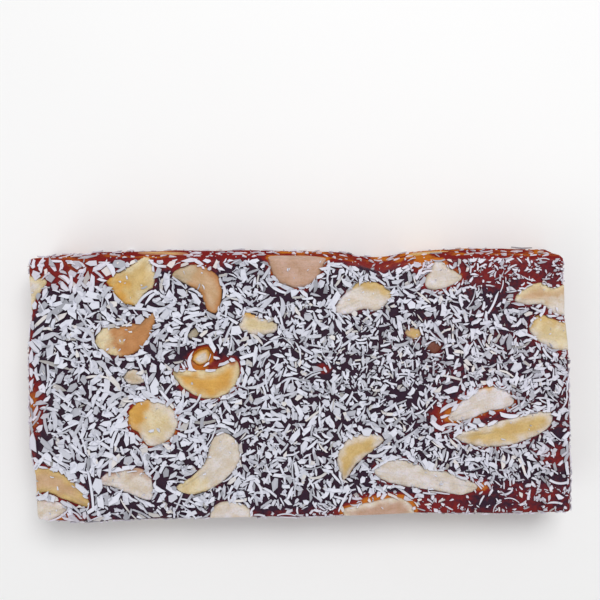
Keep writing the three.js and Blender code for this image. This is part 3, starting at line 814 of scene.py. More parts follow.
# Sizes of the patterns in the nut flesh, in millimetres.
FLESH_MOTTLE = 2.4
FLESH_FIBRES = 0.9
FIBRE_STRETCH = (0.35, 2.4, 1.0)  # along the kernel, across it and up
FLESH_SPECK = 0.35
FLESH_PORES = 0.6
PORE_RANGE = (0.05, 0.3)
RIPE_RANGE = (0.38, 0.64)
TOASTED = (0.90, 0.84, 0.74)  # what the tone is multiplied by where the flesh is darkest
BLEACHED = (1.08, 1.10, 1.20)  # and where it is palest


def kernel_material():
    """Nut flesh: a waxy skin with a grain along the kernel, pores and toasted freckles."""
    recipe = Recipe("kernel")
    tone = recipe.attribute("tone", "Color")
    along_grain = recipe.attribute("grain", "Vector")
    mottle = recipe.noise(recipe.place(FLESH_MOTTLE), detail=4)
    fibres = recipe.noise(recipe.place(FLESH_FIBRES, FIBRE_STRETCH, along_grain), detail=4, roughness=0.65)
    speck = recipe.noise(recipe.place(FLESH_SPECK), detail=2)
    freckle = 1 - recipe.step(recipe.cells(recipe.place(FLESH_PORES)), *PORE_RANGE)
    ripe = recipe.step(mottle * 0.6 + fibres * 0.22 + speck * 0.18, *RIPE_RANGE)
    toasted = recipe.mix(1.0, tone, opaque(TOASTED), "MULTIPLY")
    bleached = recipe.mix(1.0, tone, opaque(BLEACHED), "MULTIPLY")
    flesh = recipe.mix(ripe, toasted, bleached)
    shade = (1.0 - freckle * 0.1 + (speck - 0.5) * 0.3).clamped()
    colour = recipe.mix(1.0, flesh, recipe.grey(shade), "MULTIPLY")
    recipe.set(Base_Color=colour, Roughness=0.66 - mottle * 0.2)
    relief = fibres * 0.6 + mottle * 0.5 + speck * 0.3 - freckle * 0.25
    recipe.set(Normal=recipe.bump(relief, distance_mm=0.14, strength=0.6))
    recipe.set(Subsurface_Weight=0.18, Subsurface_Radius=(1.0, 0.6, 0.3), Subsurface_Scale=0.8 * MM)
    return recipe.material


COCONUT_FIBRE = 0.35


def coconut_material():
    """Dry white shreds with a faint fibre."""
    recipe = Recipe("coconut")
    # tint carries each flake's white with its painted shade and the paste's painted glow
    tint = recipe.attribute("tint", "Color")
    fibre = recipe.noise(recipe.place(COCONUT_FIBRE), detail=2, roughness=0.6)
    shade = (fibre * 0.16 + 0.92).clamped()
    colour = recipe.mix(1.0, tint, recipe.grey(shade), "MULTIPLY")
    recipe.set(Base_Color=colour, Roughness=fibre * 0.2 + 0.6)
    recipe.set(Normal=recipe.bump(fibre, distance_mm=0.05, strength=0.4))
    return recipe.material


TABLE_CLOUD = 60.0
TABLE_TONES = ((0.90, 0.90, 0.90), (0.93, 0.93, 0.93))


def floor_material():
    """A pale matte table top, with a very faint unevenness."""
    recipe = Recipe("table top")
    cloud = recipe.noise(recipe.place(TABLE_CLOUD), detail=3)
    colour = recipe.mix(cloud, *(opaque(tone) for tone in TABLE_TONES))
    recipe.set(Base_Color=colour, Roughness=cloud * 0.1 + 0.7)
    return recipe.material


# ------------------------------------------------------------------ paste

PASTE_CELLS = (214, 106, 26)  # of the paste's mesh: along the slab, across it and cuts up a side
TRIMMER_CELLS = (108, 54, 12)


def rounded_block(cells, raised=0.0, sunk=0.0):
    """The slab's block with rounded edges, cut to its plan and leaned, as a mesh.

    raised lifts its face and sunk its underside, in millimetres.
    """
    bm = bmesh.new()
    bmesh.ops.create_grid(bm, x_segments=cells[0], y_segments=cells[1], size=1)
    bmesh.ops.scale(bm, vec=(HALF_LENGTH, HALF_WIDTH, 1), verts=bm.verts)
    lifted = bmesh.ops.extrude_face_region(bm, geom=bm.faces[:])
    top = [item for item in lifted["geom"] if isinstance(item, bmesh.types.BMVert)]
    bmesh.ops.translate(bm, vec=(0, 0, THICKNESS), verts=top)
    upright = [edge for edge in bm.edges if abs(edge.verts[0].co.z - edge.verts[1].co.z) > THICKNESS / 2]
    bmesh.ops.subdivide_edges(bm, edges=upright, cuts=cells[2], use_grid_fill=True)
    bmesh.ops.recalc_face_normals(bm, faces=bm.faces[:])
    mesh = mesh_from(bm, "block")
    points = coordinates(mesh)
    half = np.array([HALF_LENGTH, HALF_WIDTH, THICKNESS / 2])
    centred = points - np.array([0, 0, THICKNESS / 2])
    core = np.clip(centred, -(half - ARRIS), half - ARRIS)
    out = centred - core
    length = np.linalg.norm(out, axis=1, keepdims=True)
    rounded = core + out * ARRIS / np.maximum(length, NOTHING)
    x, y, z = rounded.T + np.array([[0], [0], [THICKNESS / 2]])
    x, y, z = to_slab(x, y, z)
    face_part = smoothstep(z, THICKNESS / 2, THICKNESS - ARRIS)
    z = z + raised * face_part + sunk * (1 - smoothstep(z, ARRIS, THICKNESS / 2))
    set_coordinates(mesh, np.column_stack([x, y, z]))
    return mesh


def mesh_normals(mesh):
    flat = np.empty(len(mesh.vertices) * 3)
    mesh.vertices.foreach_get("normal", flat)
    return flat.reshape(-1, 3)


# Relief of the paste: heights and sizes in millimetres.
LUMP_HEIGHT, LUMP_SIZE = 0.14, 4.5
BUMP_HEIGHT, BUMP_SIZE = 0.05, 1.3
DRAG_HEIGHT = 0.10
DRAG_STRETCH = (0.25, 0.25, 1.6)  # the knife's marks are long along a cut and short up it
PIT_SIZE = 1.7
PIT_LEVEL = 0.35  # the noise has to fall this far below nothing to make a pit
PIT_DEPTH = 0.8


def paste_relief(points, normals):
    """How far each point of the paste stands out: lumps, drag and pits on the cuts, and the hollow."""
    x, y, _ = points.T
    on_side = 1 - np.abs(normals[:, 2])
    lumps = LUMP_HEIGHT * ripple(points, LUMP_SIZE, seed=3.1)
    lumps = lumps + BUMP_HEIGHT * ripple(points, BUMP_SIZE, seed=7.7)
    drag = DRAG_HEIGHT * ripple(points * DRAG_STRETCH, 1.0, seed=5.5)
    pits = np.minimum(0, ripple(points, PIT_SIZE, seed=11.3) + PIT_LEVEL) * PIT_DEPTH
    dish = np.hypot((x - HOLLOW["x"]) / (HOLLOW["length"] / 2), (y - HOLLOW["y"]) / (HOLLOW["width"] / 2))
    dished = np.where(normals[:, 2] > 0.5, HOLLOW["depth"] * np.sqrt(np.clip(1 - dish * dish, 0, 1)), 0)
    return lumps + on_side * (drag + pits) - dished


# Light through the paste: amounts from 0 to 1, and how far each reaches in millimetres.
FACE_BAND = (THICKNESS - 2.5, THICKNESS - 0.3)  # heights over which a cut turns into the face
RIM_GLOW = 0.2
RIM_REACH = 0.9
FAR_RIM_REACH = 1.5
HALO_GLOW = 0.9
HALO_REACH = 0.8
CUT_GLOW = 0.4
UPPER_GLOW = 0.15  # what a cut has more towards the face
UPPER_REACH = 2.0
FACE_ON_CUT = 0.9  # how much of the face's glow a cut below it has
FAR_FADE = (0.5, 4.0)  # how far in from the far cut its own glow fades
FAR_MOTTLE = 3.5
FAR_GLOW = [
    (-54.5, 0.5), (-50, 0.3), (-34, 0.2), (-30, 0.45), (-26, 0.1), (-8, 0.15), (-2, 0.45), (4, 0.4),
    (12, 0.15), (20, 0.5), (26, 0.6), (31, 0.4), (36, 0.25), (45, 0.3), (54.5, 0.4),
]


def halo_of(kernel, away):
    """The warm light in the paste at a distance from a kernel."""
    return kernel.halo * HALO_GLOW * np.exp(-((np.maximum(away, 0) / HALO_REACH) ** 2))


def glow_of(points):
    """How much light comes through the paste at each point, from 0 to 1."""
    x, y, z = points.T
    from_face, from_far = THICKNESS - z, cut_line(FAR_CUT, x) - y
    inside = inside_cuts(x, y)
    on_face = smoothstep(z, *FACE_BAND)
    rim = np.exp(-np.maximum(inside, 0) / RIM_REACH) * RIM_GLOW
    far_rim = np.exp(-np.maximum(from_far, 0) / FAR_RIM_REACH) * RIM_GLOW
    glow = rim + far_rim + sum(patch.at(x, y) for patch in GLOW_PATCHES) * on_face
    for chip in CHIPS:
        glow = glow + halo_of(chip, np.maximum(outside_chip(chip, x, y), from_face - chip.depth))
    for bean in BEANS:
        glow = glow + halo_of(bean, outside_bean(bean, x, y, z))
    mottle = np.clip(0.85 + 1.2 * ripple(points, FAR_MOTTLE, seed=9.4), 0.1, 1.5)
    far_glow = cut_line(FAR_GLOW, x) * mottle * (1 - smoothstep(from_far, *FAR_FADE)) * (inside < 1)
    on_cut = CUT_GLOW + UPPER_GLOW * np.exp(-from_face / UPPER_REACH) + far_glow
    glow = on_face * glow + (1 - on_face) * np.maximum(on_cut, glow * FACE_ON_CUT)
    return np.clip(glow, 0, 1)


DRY_FADE = (0.2, 1.2)  # how far in from the far cut the paste turns moist
MOIST_CUT = 0.3  # how moist the other cuts are against the face


def moist_of(points):
    """How wet the paste looks: the face shines, its cuts shine less and the far cut is dull."""
    x, y, z = points.T
    from_far = smoothstep(cut_line(FAR_CUT, x) - y, *DRY_FADE)
    return from_far * (MOIST_CUT + (1 - MOIST_CUT) * smoothstep(z, *FACE_BAND))


POCKET_GAP = 0.05  # between a kernel and the paste


def build_paste(settings):
    mesh = rounded_block(PASTE_CELLS, sunk=BASE_SUNK)
    piece = new_object("paste_body", mesh)
    points, normals = coordinates(mesh), mesh_normals(mesh)
    set_coordinates(mesh, points + normals * paste_relief(points, normals)[:, None])
    pockets = joined("pockets", [
        *(chip_object(chip, swell=POCKET_GAP) for chip in CHIPS),
        *(bean_object(bean, swell=POCKET_GAP) for bean in BEANS),
    ])
    boolean(piece, pockets, "DIFFERENCE")
    drop(pockets)
    points = coordinates(piece.data)
    add_attribute(piece.data, "glow", "FLOAT", glow_of(points))
    add_attribute(piece.data, "moist", "FLOAT", moist_of(points))
    finish_piece(piece, paste_material(settings), ["paste"], smooth=True)


# ------------------------------------------------------------------ kernels as pieces

CROWN_INSET = 0.9
CROWN_RISE = 0.36
# Rings of a chip from its crown down: how far each is drawn in, in millimetres, then its
# share of the way to the middle, its rise over the face and its share of the depth.
CHIP_RINGS = [
    *((CROWN_INSET, inward, CROWN_RISE, 0) for inward in (0.97, 0.8, 0.6, 0.42, 0.26, 0.12, 0)),
    (0.55, 0, 0.33, 0), (0.32, 0, 0.26, 0), (0.16, 0, 0.15, 0), (0.05, 0, -0.02, 0), (0, 0, -0.25, 0),
    (0, 0, -0.6, 0), (0, 0.04, 0, 0.35), (0, 0.12, 0, 0.6), (0, 0.3, 0, 0.85), (0, 0.6, 0, 0.97),
    (0, 0.97, 0, 1),
]
BOTTOM_SHARE = 0.9  # rings deeper than this are the bottom, which sinks when a chip is swollen
NARROW = 1.6  # a chip narrower than this has its rings drawn in less
SEED_BY_PLACE = (0.37, 0.71)  # gives each chip noise of its own
FRAY, FINE_FRAY = (0.7, 1.5), (0.5, 0.55)  # share and size of the frays of an outline
DENT, FINE_DENT = (0.13, 2.4), (0.05, 0.7)  # height and size of the dents in a crown
DENTS_FROM, DENTS_FULL = 0.1, 0.5  # how far in from the outline the dents begin and are full
BEAN_SEGMENTS = (64, 32)


def swollen(curve, distance):
    """A closed curve moved outwards, square to itself, by a distance for each point."""
    along = np.roll(curve, -1, axis=0) - np.roll(curve, 1, axis=0)
    along /= np.maximum(np.hypot(*along.T), NOTHING)[:, None]
    return curve + np.column_stack([along[:, 1], -along[:, 0]]) * np.reshape(distance, (-1, 1))


def tube_mesh(name, rings, segments):
    """A capped tube of unit radius, with its rings one apart from the top down."""
    bm = bmesh.new()
    bmesh.ops.create_cone(bm, cap_ends=True, segments=segments, radius1=1, radius2=1, depth=rings - 1)
    upright = [edge for edge in bm.edges if edge.verts[0].co.z * edge.verts[1].co.z < 0]
    bmesh.ops.subdivide_edges(bm, edges=upright, cuts=rings - 2, use_grid_fill=True)
    return mesh_from(bm, name)


def tube_places(mesh, rings, segments):
    """The ring and the segment of each point of a tube."""
    x, y, z = coordinates(mesh).T
    ring = np.round((rings - 1) / 2 - z).astype(int)
    segment = np.round(np.arctan2(y, x) / (2 * math.pi) * segments).astype(int) % segments
    return ring, segment


def chip_object(chip, swell=0.0):
    """One face kernel as a closed body. Swollen, it is plain and serves to cut its pocket."""
    curve = chip.curve
    seed = chip.middle[0] * SEED_BY_PLACE[0] + chip.middle[1] * SEED_BY_PLACE[1]
    flat = np.column_stack([curve, np.zeros(len(curve))])
    fray = FRAY[0] * ripple(flat, FRAY[1], seed) + FINE_FRAY[0] * ripple(flat, FINE_FRAY[1], seed + 9)
    curve = swollen(curve, chip.rough * fray + swell)
    rings = []
    for inset, inward, rise, depth in CHIP_RINGS:
        ring = swollen(curve, -inset * min(1.0, chip.half[1] / NARROW))
        ring = ring + (chip.middle - ring) * inward
        outward = 1 if rise > 0 else -1 if depth > BOTTOM_SHARE else 0
        height = THICKNESS + rise - depth * chip.depth + outward * swell
        points = np.column_stack([ring, np.full(len(ring), height)])
        if not swell and inset > DENTS_FROM:
            dents = DENT[0] * ripple(points, DENT[1], seed)
            dents = dents + FINE_DENT[0] * ripple(points, FINE_DENT[1], seed + 4)
            points[:, 2] += min(1.0, inset / DENTS_FULL) * dents
        rings.append(points)
    mesh = tube_mesh(chip.node, len(rings), len(curve))
    set_coordinates(mesh, np.array(rings)[tube_places(mesh, len(rings), len(curve))])
    return new_object(chip.node, mesh)


def bean_object(bean, swell=0.0):
    """One kernel of the underside or a cut as a closed bean, before it is trimmed."""
    bm = bmesh.new()
    bmesh.ops.create_uvsphere(bm, u_segments=BEAN_SEGMENTS[0], v_segments=BEAN_SEGMENTS[1], radius=1)
    mesh = mesh_from(bm, bean.node)
    along, across, up = coordinates(mesh).T
    x = along * (bean.length / 2 + swell)
    y = across * (bean.width / 2 + swell) * (1 - bean.taper * along)
    y = y + bean.bow * (0.5 - along * along)
    z = np.where(up > 0, up * bean.up, up * bean.down) + np.sign(up) * swell
    turn = math.radians(bean.turn)
    set_coordinates(mesh, np.column_stack([
        bean.x + x * math.cos(turn) - y * math.sin(turn),
        bean.y + x * math.sin(turn) + y * math.cos(turn),
        bean.z + z,
    ]))
    return new_object(bean.node, mesh)


WANDER_SIZE = 1.6  # of the uneven borders between the tones of a kernel
RIM_WANDER = 0.35
RIM_RANGE = (0.3, 0.95)  # shares of the way out over which the core turns into the rim
BLUSH_WANDER = 0.5
BLUSH_FADE = (0.2, 0.35)  # how far a blush fades to each side of its border


def paint_kernel(mesh, finish, plan, radius, grain):
    """Writes the tone of the flesh and its place in the grain on every point.

    plan holds each point's place in the slab's plan against the kernel's own spread.
    """
    wander = ripple(coordinates(mesh), WANDER_SIZE, seed=2.0)
    middle = 1 - smoothstep(radius + RIM_WANDER * wander, *RIM_RANGE)
    core, rim = (np.array(KERNEL_TONES[name]) for name in (finish.core, finish.rim))
    tone = rim + (core - rim) * middle[:, None]
    if finish.blush:
        towards = math.radians(finish.blush_turn)
        aim = plan @ (math.cos(towards), math.sin(towards)) + BLUSH_WANDER * wander
        border = 1 - 2 * finish.blush_reach
        amount = smoothstep(aim, border - BLUSH_FADE[0], border + BLUSH_FADE[1])
        tone = tone + (np.array(KERNEL_TONES[finish.blush]) - tone) * amount[:, None]
    add_attribute(mesh, "tone", "FLOAT_COLOR", np.column_stack([tone, np.ones(len(tone))]))
    add_attribute(mesh, "grain", "FLOAT_VECTOR", grain)


def paint_chip(chip, mesh):
    points = coordinates(mesh)
    away = points[:, :2] - chip.middle
    inside = np.clip(-outside_chip(chip, points[:, 0], points[:, 1]), 0, None)
    radius = 1 - inside / max(inside.max(), NOTHING)
    spread = np.abs(chip.curve - chip.middle).max(axis=0)
    across = away @ (-chip.axis[1], chip.axis[0])
    grain = np.column_stack([away @ chip.axis, across, points[:, 2]]) + chip.middle[0]
    paint_kernel(mesh, chip, away / spread, radius, grain)


def paint_bean(bean, mesh):
    x, y, z = coordinates(mesh).T
    along, across = bean_plan(bean, x, y)
    radius = np.hypot(along, (z - bean.z) / bean.up) if bean in SIDE_BEANS else np.hypot(along, across)
    grain = np.column_stack([along * bean.length / 2, across * bean.width / 2, z]) + bean.x
    paint_kernel(mesh, bean, np.column_stack([along, across]), radius, grain)


TRIMMER_RAISE = 0.5  # clears the crowns of the kernels
TRIMMER_SPREAD = (0.05, 0.05, 0.0)  # lets the kernels stand out of the cuts by a hair


def build_kernels():
    trimming = new_object("trimming", rounded_block(TRIMMER_CELLS, raised=TRIMMER_RAISE))
    mesh = trimming.data
    set_coordinates(mesh, coordinates(mesh) + mesh_normals(mesh) * TRIMMER_SPREAD)
    material = kernel_material()
    for kernels, form, paint in ((CHIPS, chip_object, paint_chip), (BEANS, bean_object, paint_bean)):
        for kernel in kernels:
            piece = form(kernel)
            if kernel.edge:
                boolean(piece, trimming, "INTERSECT")
            paint(kernel, piece.data)
            piece.name = kernel.node.replace("nut", "kernel")
            finish_piece(piece, material, [kernel.node], smooth=True)
    drop(trimming)


# ------------------------------------------------------------------ coconut

CELL = 0.2
REACH = 5  # cells each way over which the cover is judged
TURNS = 5  # directions tried for each flake
LENGTH_FELT, WIDTH_FELT = 0.46, 0.42  # shares of a flake, each way from its middle, that feel for its rest
FEEL_STEP = 0.25
BARRED_WEIGHT = 2  # lapping over a kernel counts this many times as much as over a flake
END_SPAN, SIDE_SPAN = 0.65, 0.5  # shares of a flake from end to end and side to side of its slope
STEEPEST, MOST_ROLLED = 0.4, 0.5
REST_PERCENT = 70  # a flake sinks past the highest points under it
GRADING = [(-54.5, 1.4), (-26, 1.2), (-8, 0.98), (54.5, 0.9)]  # size of the flakes along the slab


class Bed:
    """A surface that coconut lies on, as square grids: its height, how much of it is to be
    covered and what is covered so far. It also knows the way out of the surface."""

    def __init__(self, low, high, height, cover, to_space, ceiling):
        self.low = np.array(low)
        self.count = np.ceil((np.array(high) - self.low) / CELL).astype(int)
        a = self.low[0] + (np.arange(self.count[0]) + 0.5) * CELL
        b = self.low[1] + (np.arange(self.count[1]) + 0.5) * CELL
        self.places = np.meshgrid(a, b, indexing="ij")
        self.height = height(*self.places)
        self.cover = cover(*self.places)
        self.barred = self.cover <= 0
        self.taken = np.zeros(self.height.shape, dtype=bool)
        self.to_space = to_space
        self.ceiling = ceiling

    def cells(self, a, b):
        i = np.clip(((a - self.low[0]) / CELL).astype(int), 0, self.count[0] - 1)
        j = np.clip(((b - self.low[1]) / CELL).astype(int), 0, self.count[1] - 1)
        return i, j

    def is_full(self, a, b, share):
        """Whether the surface round a place has its share of the wanted cover already."""
        i, j = (int(place) for place in self.cells(np.array(a), np.array(b)))
        around = (slice(max(i - REACH, 0), i + REACH + 1), slice(max(j - REACH, 0), j + REACH + 1))
        free = max(int((~self.barred[around]).sum()), 1)
        return self.taken[around].sum() / free >= self.cover[i, j] * share

    def settle(self, a, b, turn, length, width, thick, lift, overlap):
        """Lays one flake, turned to where it covers the others least.

        Returns its turn, level, slope and roll, or nothing where it would cover more
        than the allowed overlap.
        """
        steps_along, steps_across = max(5, int(length / FEEL_STEP)), max(3, int(width / FEEL_STEP))
        along = (np.linspace(-LENGTH_FELT, LENGTH_FELT, steps_along) * length)[:, None]
        across = (np.linspace(-WIDTH_FELT, WIDTH_FELT, steps_across) * width)[None, :]

        def footprint(angle):
            x = a + along * math.cos(angle) - across * math.sin(angle)
            y = b + along * math.sin(angle) + across * math.cos(angle)
            return self.cells(x, y)

        options = [footprint(turn + step * math.pi / TURNS) for step in range(TURNS)]
        covered = [self.taken[cells].mean() + BARRED_WEIGHT * self.barred[cells].mean() for cells in options]
        least = int(np.argmin(covered))
        if covered[least] > overlap:
            return None
        cells = options[least]
        under = self.height[cells]
        third, half = max(1, len(along) // 3), across.size // 2
        slope = (under[-third:].mean() - under[:third].mean()) / (END_SPAN * length)
        roll = (under[:, -half:].mean() - under[:, :half].mean()) / (SIDE_SPAN * width)
        slope = min(max(slope, -STEEPEST), STEEPEST)
        roll = min(max(roll, -MOST_ROLLED), MOST_ROLLED)
        tilt = slope * along + roll * across
        level = float(np.percentile(under - tilt, REST_PERCENT)) + lift
        level = min(level, self.ceiling - thick - float(np.abs(tilt).max()))
        self.height[cells] = np.maximum(under, level + tilt + thick)
        self.taken[cells] = True
        return turn + least * math.pi / TURNS, level, slope, roll


def strip_form(cuts):
    """A unit strip from -1 to 1 each way, cut across its length, as points and faces."""
    bm = bmesh.new()
    bmesh.ops.create_cube(bm, size=2)
    long_edges = [edge for edge in bm.edges if abs(edge.verts[0].co.x - edge.verts[1].co.x) > 1]
    if cuts:
        bmesh.ops.subdivide_edges(bm, edges=long_edges, cuts=cuts, use_grid_fill=True)
    return form_arrays(bm)


def chip_form(corners):
    """A unit chip: a many-cornered plate from -1 to 1 each way."""
    bm = bmesh.new()
    bmesh.ops.create_circle(bm, cap_ends=True, segments=corners, radius=1)
    bmesh.ops.translate(bm, vec=(0, 0, -1), verts=bm.verts)
    lifted = bmesh.ops.extrude_face_region(bm, geom=bm.faces[:])
    top = [item for item in lifted["geom"] if isinstance(item, bmesh.types.BMVert)]
    bmesh.ops.translate(bm, vec=(0, 0, 2), verts=top)
    bmesh.ops.recalc_face_normals(bm, faces=bm.faces[:])
    bmesh.ops.triangulate(bm, faces=bm.faces[:])
    return form_arrays(bm)


def form_arrays(bm):
    bm.verts.ensure_lookup_table()
    points = np.array([vert.co for vert in bm.verts])
    faces = [[vert.index for vert in face.verts] for face in bm.faces]
    bm.free()
    return points, faces


@dataclass
class Kind:
    """A kind of coconut flake: its form, its usual size in millimetres, and how uneven it is.

    spread is the unevenness of its size, curl and sweep bend it up and sideways by shares
    of its length, twist turns it about its length, and ragged draws in its corners.
    """
    form: tuple
    length: float
    width: float
    thick: float
    spread: float
    curl: float = 0.06
    sweep: float = 0.1
    twist: float = 0.3
    ragged: float = 0.0


SHRED = Kind(strip_form(1), 1.5, 0.48, 0.24, 0.36)
CHIP = Kind(chip_form(5), 1.7, 0.85, 0.26, 0.32, curl=0.02, sweep=0.0, ragged=0.5)
SPLINTER = Kind(strip_form(1), 0.9, 0.25, 0.2, 0.35)
CURL = Kind(strip_form(7), 3.6, 0.42, 0.22, 0.25, curl=0.04, sweep=0.2, twist=0.4)
CHUNK = Kind(chip_form(5), 2.0, 1.3, 0.3, 0.3, curl=0.02, sweep=0.0, ragged=0.3)
CRUMB = Kind(strip_form(0), 0.4, 0.25, 0.2, 0.35, curl=0.0, sweep=0.0)

END_WIDTH = (0.86, 0.16)  # mean and spread of the width of a strip's ends
END_WIDTHS = (0.3, 1.05)  # the least and the most
OBLIQUE = 0.35  # how obliquely the ends are cut, against the width
JAG = (-1, 0.3)  # a chip's corners move inward by up to its raggedness, and outward by less
CURLING = (-0.5, 1)  # most flakes curl up at the ends, and some down
THIN_ENDS = 0.3
SWEEP_MIDDLE = 0.4  # keeps a bent flake over its own middle
THICK_SPREAD = 0.15
FINEST = 0.5  # the most that a fine patch takes off the size of the flakes
SIZE_CHANCE = (0.5, 1.5)  # the larger flakes are mostly laid first
FREE_SLOPE, FREE_ROLL = 0.08, 0.25  # free tilt, so that no two flakes catch the light alike
PAINTED_FLAKE_SHADE = (0.5, 0.25)  # the deepest painted shade of a flake, standing for one that lies in shadow, and how much a shade patch changes it
WARM_SHARE = 0.07
WARM_TINT = (1.04, 0.98, 0.86)
GLOW_PINK_TINT = np.array([0.02, 0.22, 0.2])  # what the paste's full painted glow takes off a flake's colour, leaving it pink


def flake_points(kind, laid, rng, flat=False):
    """The points of every laid flake in its bed's own coordinates, as (flake, point, 3)."""
    points, _ = kind.form
    u, v, w = points.T[:, None, :]
    count = len(laid["a"])
    column = {key: value[:, None] for key, value in laid.items()}
    start, end = np.clip(rng.normal(*END_WIDTH, (2, count, 1)), *END_WIDTHS)
    narrow = np.where(u < 0, 1 + u * (1 - start), 1 - u * (1 - end))
    start_cut, end_cut = rng.normal(0, OBLIQUE, (2, count, 1)) * column["width"]
    oblique = np.where(u < 0, -u * start_cut, u * end_cut)
    if kind.ragged:
        corners = len(points) // 2
        corner = np.round(np.arctan2(v, u) / (2 * np.pi) * corners).astype(int) % corners
        reach = 1 + kind.ragged * rng.uniform(*JAG, (count, corners))
        jag = np.take_along_axis(reach, np.broadcast_to(corner, (count, corner.shape[1])), axis=1)
        u, v, narrow = u * jag, v * jag, 1.0
        oblique = 0.0
    half_length, half_width = column["length"] / 2, column["width"] / 2
    x = u * half_length + v * oblique
    sweep = kind.sweep * rng.uniform(-1, 1, (count, 1)) * column["length"]
    y = v * half_width * narrow + sweep * (u * u - SWEEP_MIDDLE)
    z = (w + 1) / 2 * column["thick"] * (1 - THIN_ENDS * u * u)
    if not flat:
        curl = kind.curl * rng.uniform(*CURLING, (count, 1)) * column["length"]
        twist = kind.twist * rng.uniform(-1, 1, (count, 1))
        z = z + curl * u * u + twist * u * v * half_width
        z = z + column["slope"] * x + column["roll"] * y
    turn_cos, turn_sin = np.cos(column["turn"]), np.sin(column["turn"])
    a = column["a"] + x * turn_cos - y * turn_sin
    b = column["b"] + x * turn_sin + y * turn_cos
    return np.stack([a, b, column["level"] + z], axis=-1)


def lay_flakes(bed, kind, tries, rng, share=1.0, overlap=0.2, lift=0.0, scale=1.0, graded=False):
    """Draws flakes over a bed, largest first, and lays those that fit where they fell.

    share is how much of the wanted cover may be there once these flakes are laid.
    """
    a, b = (bed.low + rng.random((tries, 2)) * bed.count * CELL).T
    fine = sum(patch.at(a, b) for patch in FINE_PATCHES) if graded else 0
    size = scale * cut_line(GRADING, a) * (1 - np.clip(fine, 0, FINEST))
    drawn = {
        "a": a,
        "b": b,
        "turn": rng.random(tries) * math.pi,
        "length": kind.length * size * np.exp(rng.normal(0, kind.spread, tries)),
        "width": kind.width * size * np.exp(rng.normal(0, kind.spread, tries)),
        "thick": kind.thick * np.exp(rng.normal(0, THICK_SPREAD, tries)),
        "lift": lift * rng.random(tries),
    }
    order = np.argsort(-drawn["length"] * drawn["width"] * rng.uniform(*SIZE_CHANCE, tries))
    return settled(bed, {key: values[order] for key, values in drawn.items()}, rng, share, overlap)


def settled(bed, drawn, rng, share, overlap):
    """Lays the drawn flakes in turn, leaving out those that find no room."""
    laid, rests = [], []
    for flake in zip(*drawn.values()):
        if bed.is_full(*flake[:2], share):
            continue
        rest = bed.settle(*flake, overlap)
        if rest is not None:
            laid.append(flake)
            rests.append(rest)
    laid = dict(zip(drawn, np.array(laid).reshape(-1, len(drawn)).T))
    laid["turn"], laid["level"], laid["slope"], laid["roll"] = np.array(rests).reshape(-1, 4).T
    laid["slope"] = laid["slope"] + rng.normal(0, FREE_SLOPE, len(rests))
    laid["roll"] = laid["roll"] + rng.normal(0, FREE_ROLL, len(rests))
    return laid


def flakes_object(name, kind, laid, bed, rng, settings, flat=False, painted_glow=None):
    """Joins laid flakes into one piece, each with its own shade of white, darkened by painted shade and
    tinted pink by the paste's painted glow.
    """
    points = flake_points(kind, laid, rng, flat)
    a, b, h = points[..., 0], points[..., 1], points[..., 2]
    space = np.stack(bed.to_space(a, b, h), axis=-1)
    count, corners = a.shape
    _, faces = kind.form
    all_faces = [[corner + flake * corners for corner in face] for flake in range(count) for face in faces]
    mesh = bpy.data.meshes.new(name)
    mesh.from_pydata(space.reshape(-1, 3).tolist(), [], all_faces)
    middles = np.column_stack([laid["a"], laid["b"], np.zeros(count)])
    # painted shade: each flake's white is darkened at random, less in the brighter shade patches, standing
    # for flakes that lie in shadow under others
    shade_patch = ripple(middles, PAINTED_SHADE_PATCH, seed=8.0)[:, None]
    shade = 1 - (PAINTED_FLAKE_SHADE[0] - PAINTED_FLAKE_SHADE[1] * shade_patch) * rng.random((count, 1)) ** 3
    tint = np.array(settings.coconut) * shade
    warm = rng.random((count, 1)) < WARM_SHARE
    tint = np.where(warm, tint * WARM_TINT, tint)
    # painted glow: flakes over glowing paste take on its red, standing for its light coming through them
    if painted_glow is not None:
        glow_pink = painted_glow(laid["a"], laid["b"])[:, None]
        tint = tint * (1 - glow_pink * GLOW_PINK_TINT)
    colours = np.repeat(np.column_stack([np.clip(tint, 0, 1), np.ones(count)]), corners, axis=0)
    add_attribute(mesh, "tint", "FLOAT_COLOR", colours)
    return new_object(name, mesh)


# ------------------------------------------------------------------ coconut on the face

BESIDE_DROP = 3  # how steeply the bed falls away outside the cuts
CROWN_LEVEL = 0.45  # where coconut rests on a kernel
CLUSTER_SEED = 5.0
BARE_EDGE = 0.15
LEAST_COVER, MOST_COVER = 0.02, 0.95
# how much of the paste's painted glow the flakes of the face take on
FACE_GLOW_PINK = 0.6
BED_MARGIN = 1  # the bed reaches this far past the slab
PLACED_LIFT = 0.1
PLACED_SHARE, PLACED_OVERLAP = 9.0, 3.0  # high enough for a placed flake to lie anywhere off a kernel
# The kinds in the order they are laid: name, kind, flakes drawn, share of the cover that may
# be there once they lie, how far each may lap over others, and how far it may be lifted.
FACE_LAYERS = (
    ("curls", CURL, 300, 0.12, 0.1, 0.2),
    ("chips", CHIP, 7000, 0.4, 0.3, 0.3),
    ("shreds", SHRED, 16000, 0.85, 0.35, 0.35),
    ("splinters", SPLINTER, 16000, 0.97, 0.45, 0.3),
    ("crumbs", CRUMB, 14000, 1.05, 0.5, 0.2),
)
STRAY_LAYERS = (("shreds", SPLINTER, 110), ("crumbs", CRUMB, 600))  # these may lie on kernels
STRAY_EDGE = 0.3
STRAY_OVERLAP = 1.0
STRAY_SCALE = 0.8


def face_height(x, y):
    """The bare face under the coconut: paste, crowns of the kernels, and the rounded arris."""
    inside = inside_cuts(x, y)
    fall = ARRIS - np.sqrt(np.clip(ARRIS**2 - np.clip(ARRIS - inside, 0, ARRIS) ** 2, 0, None))
    height = np.where(inside < 0, -ARRIS - BESIDE_DROP * np.clip(-inside, 0, 1), -fall)
    crowns = outside_chips(x, y)
    return np.where((crowns < 0) & (inside > 0), CROWN_LEVEL + height, height)


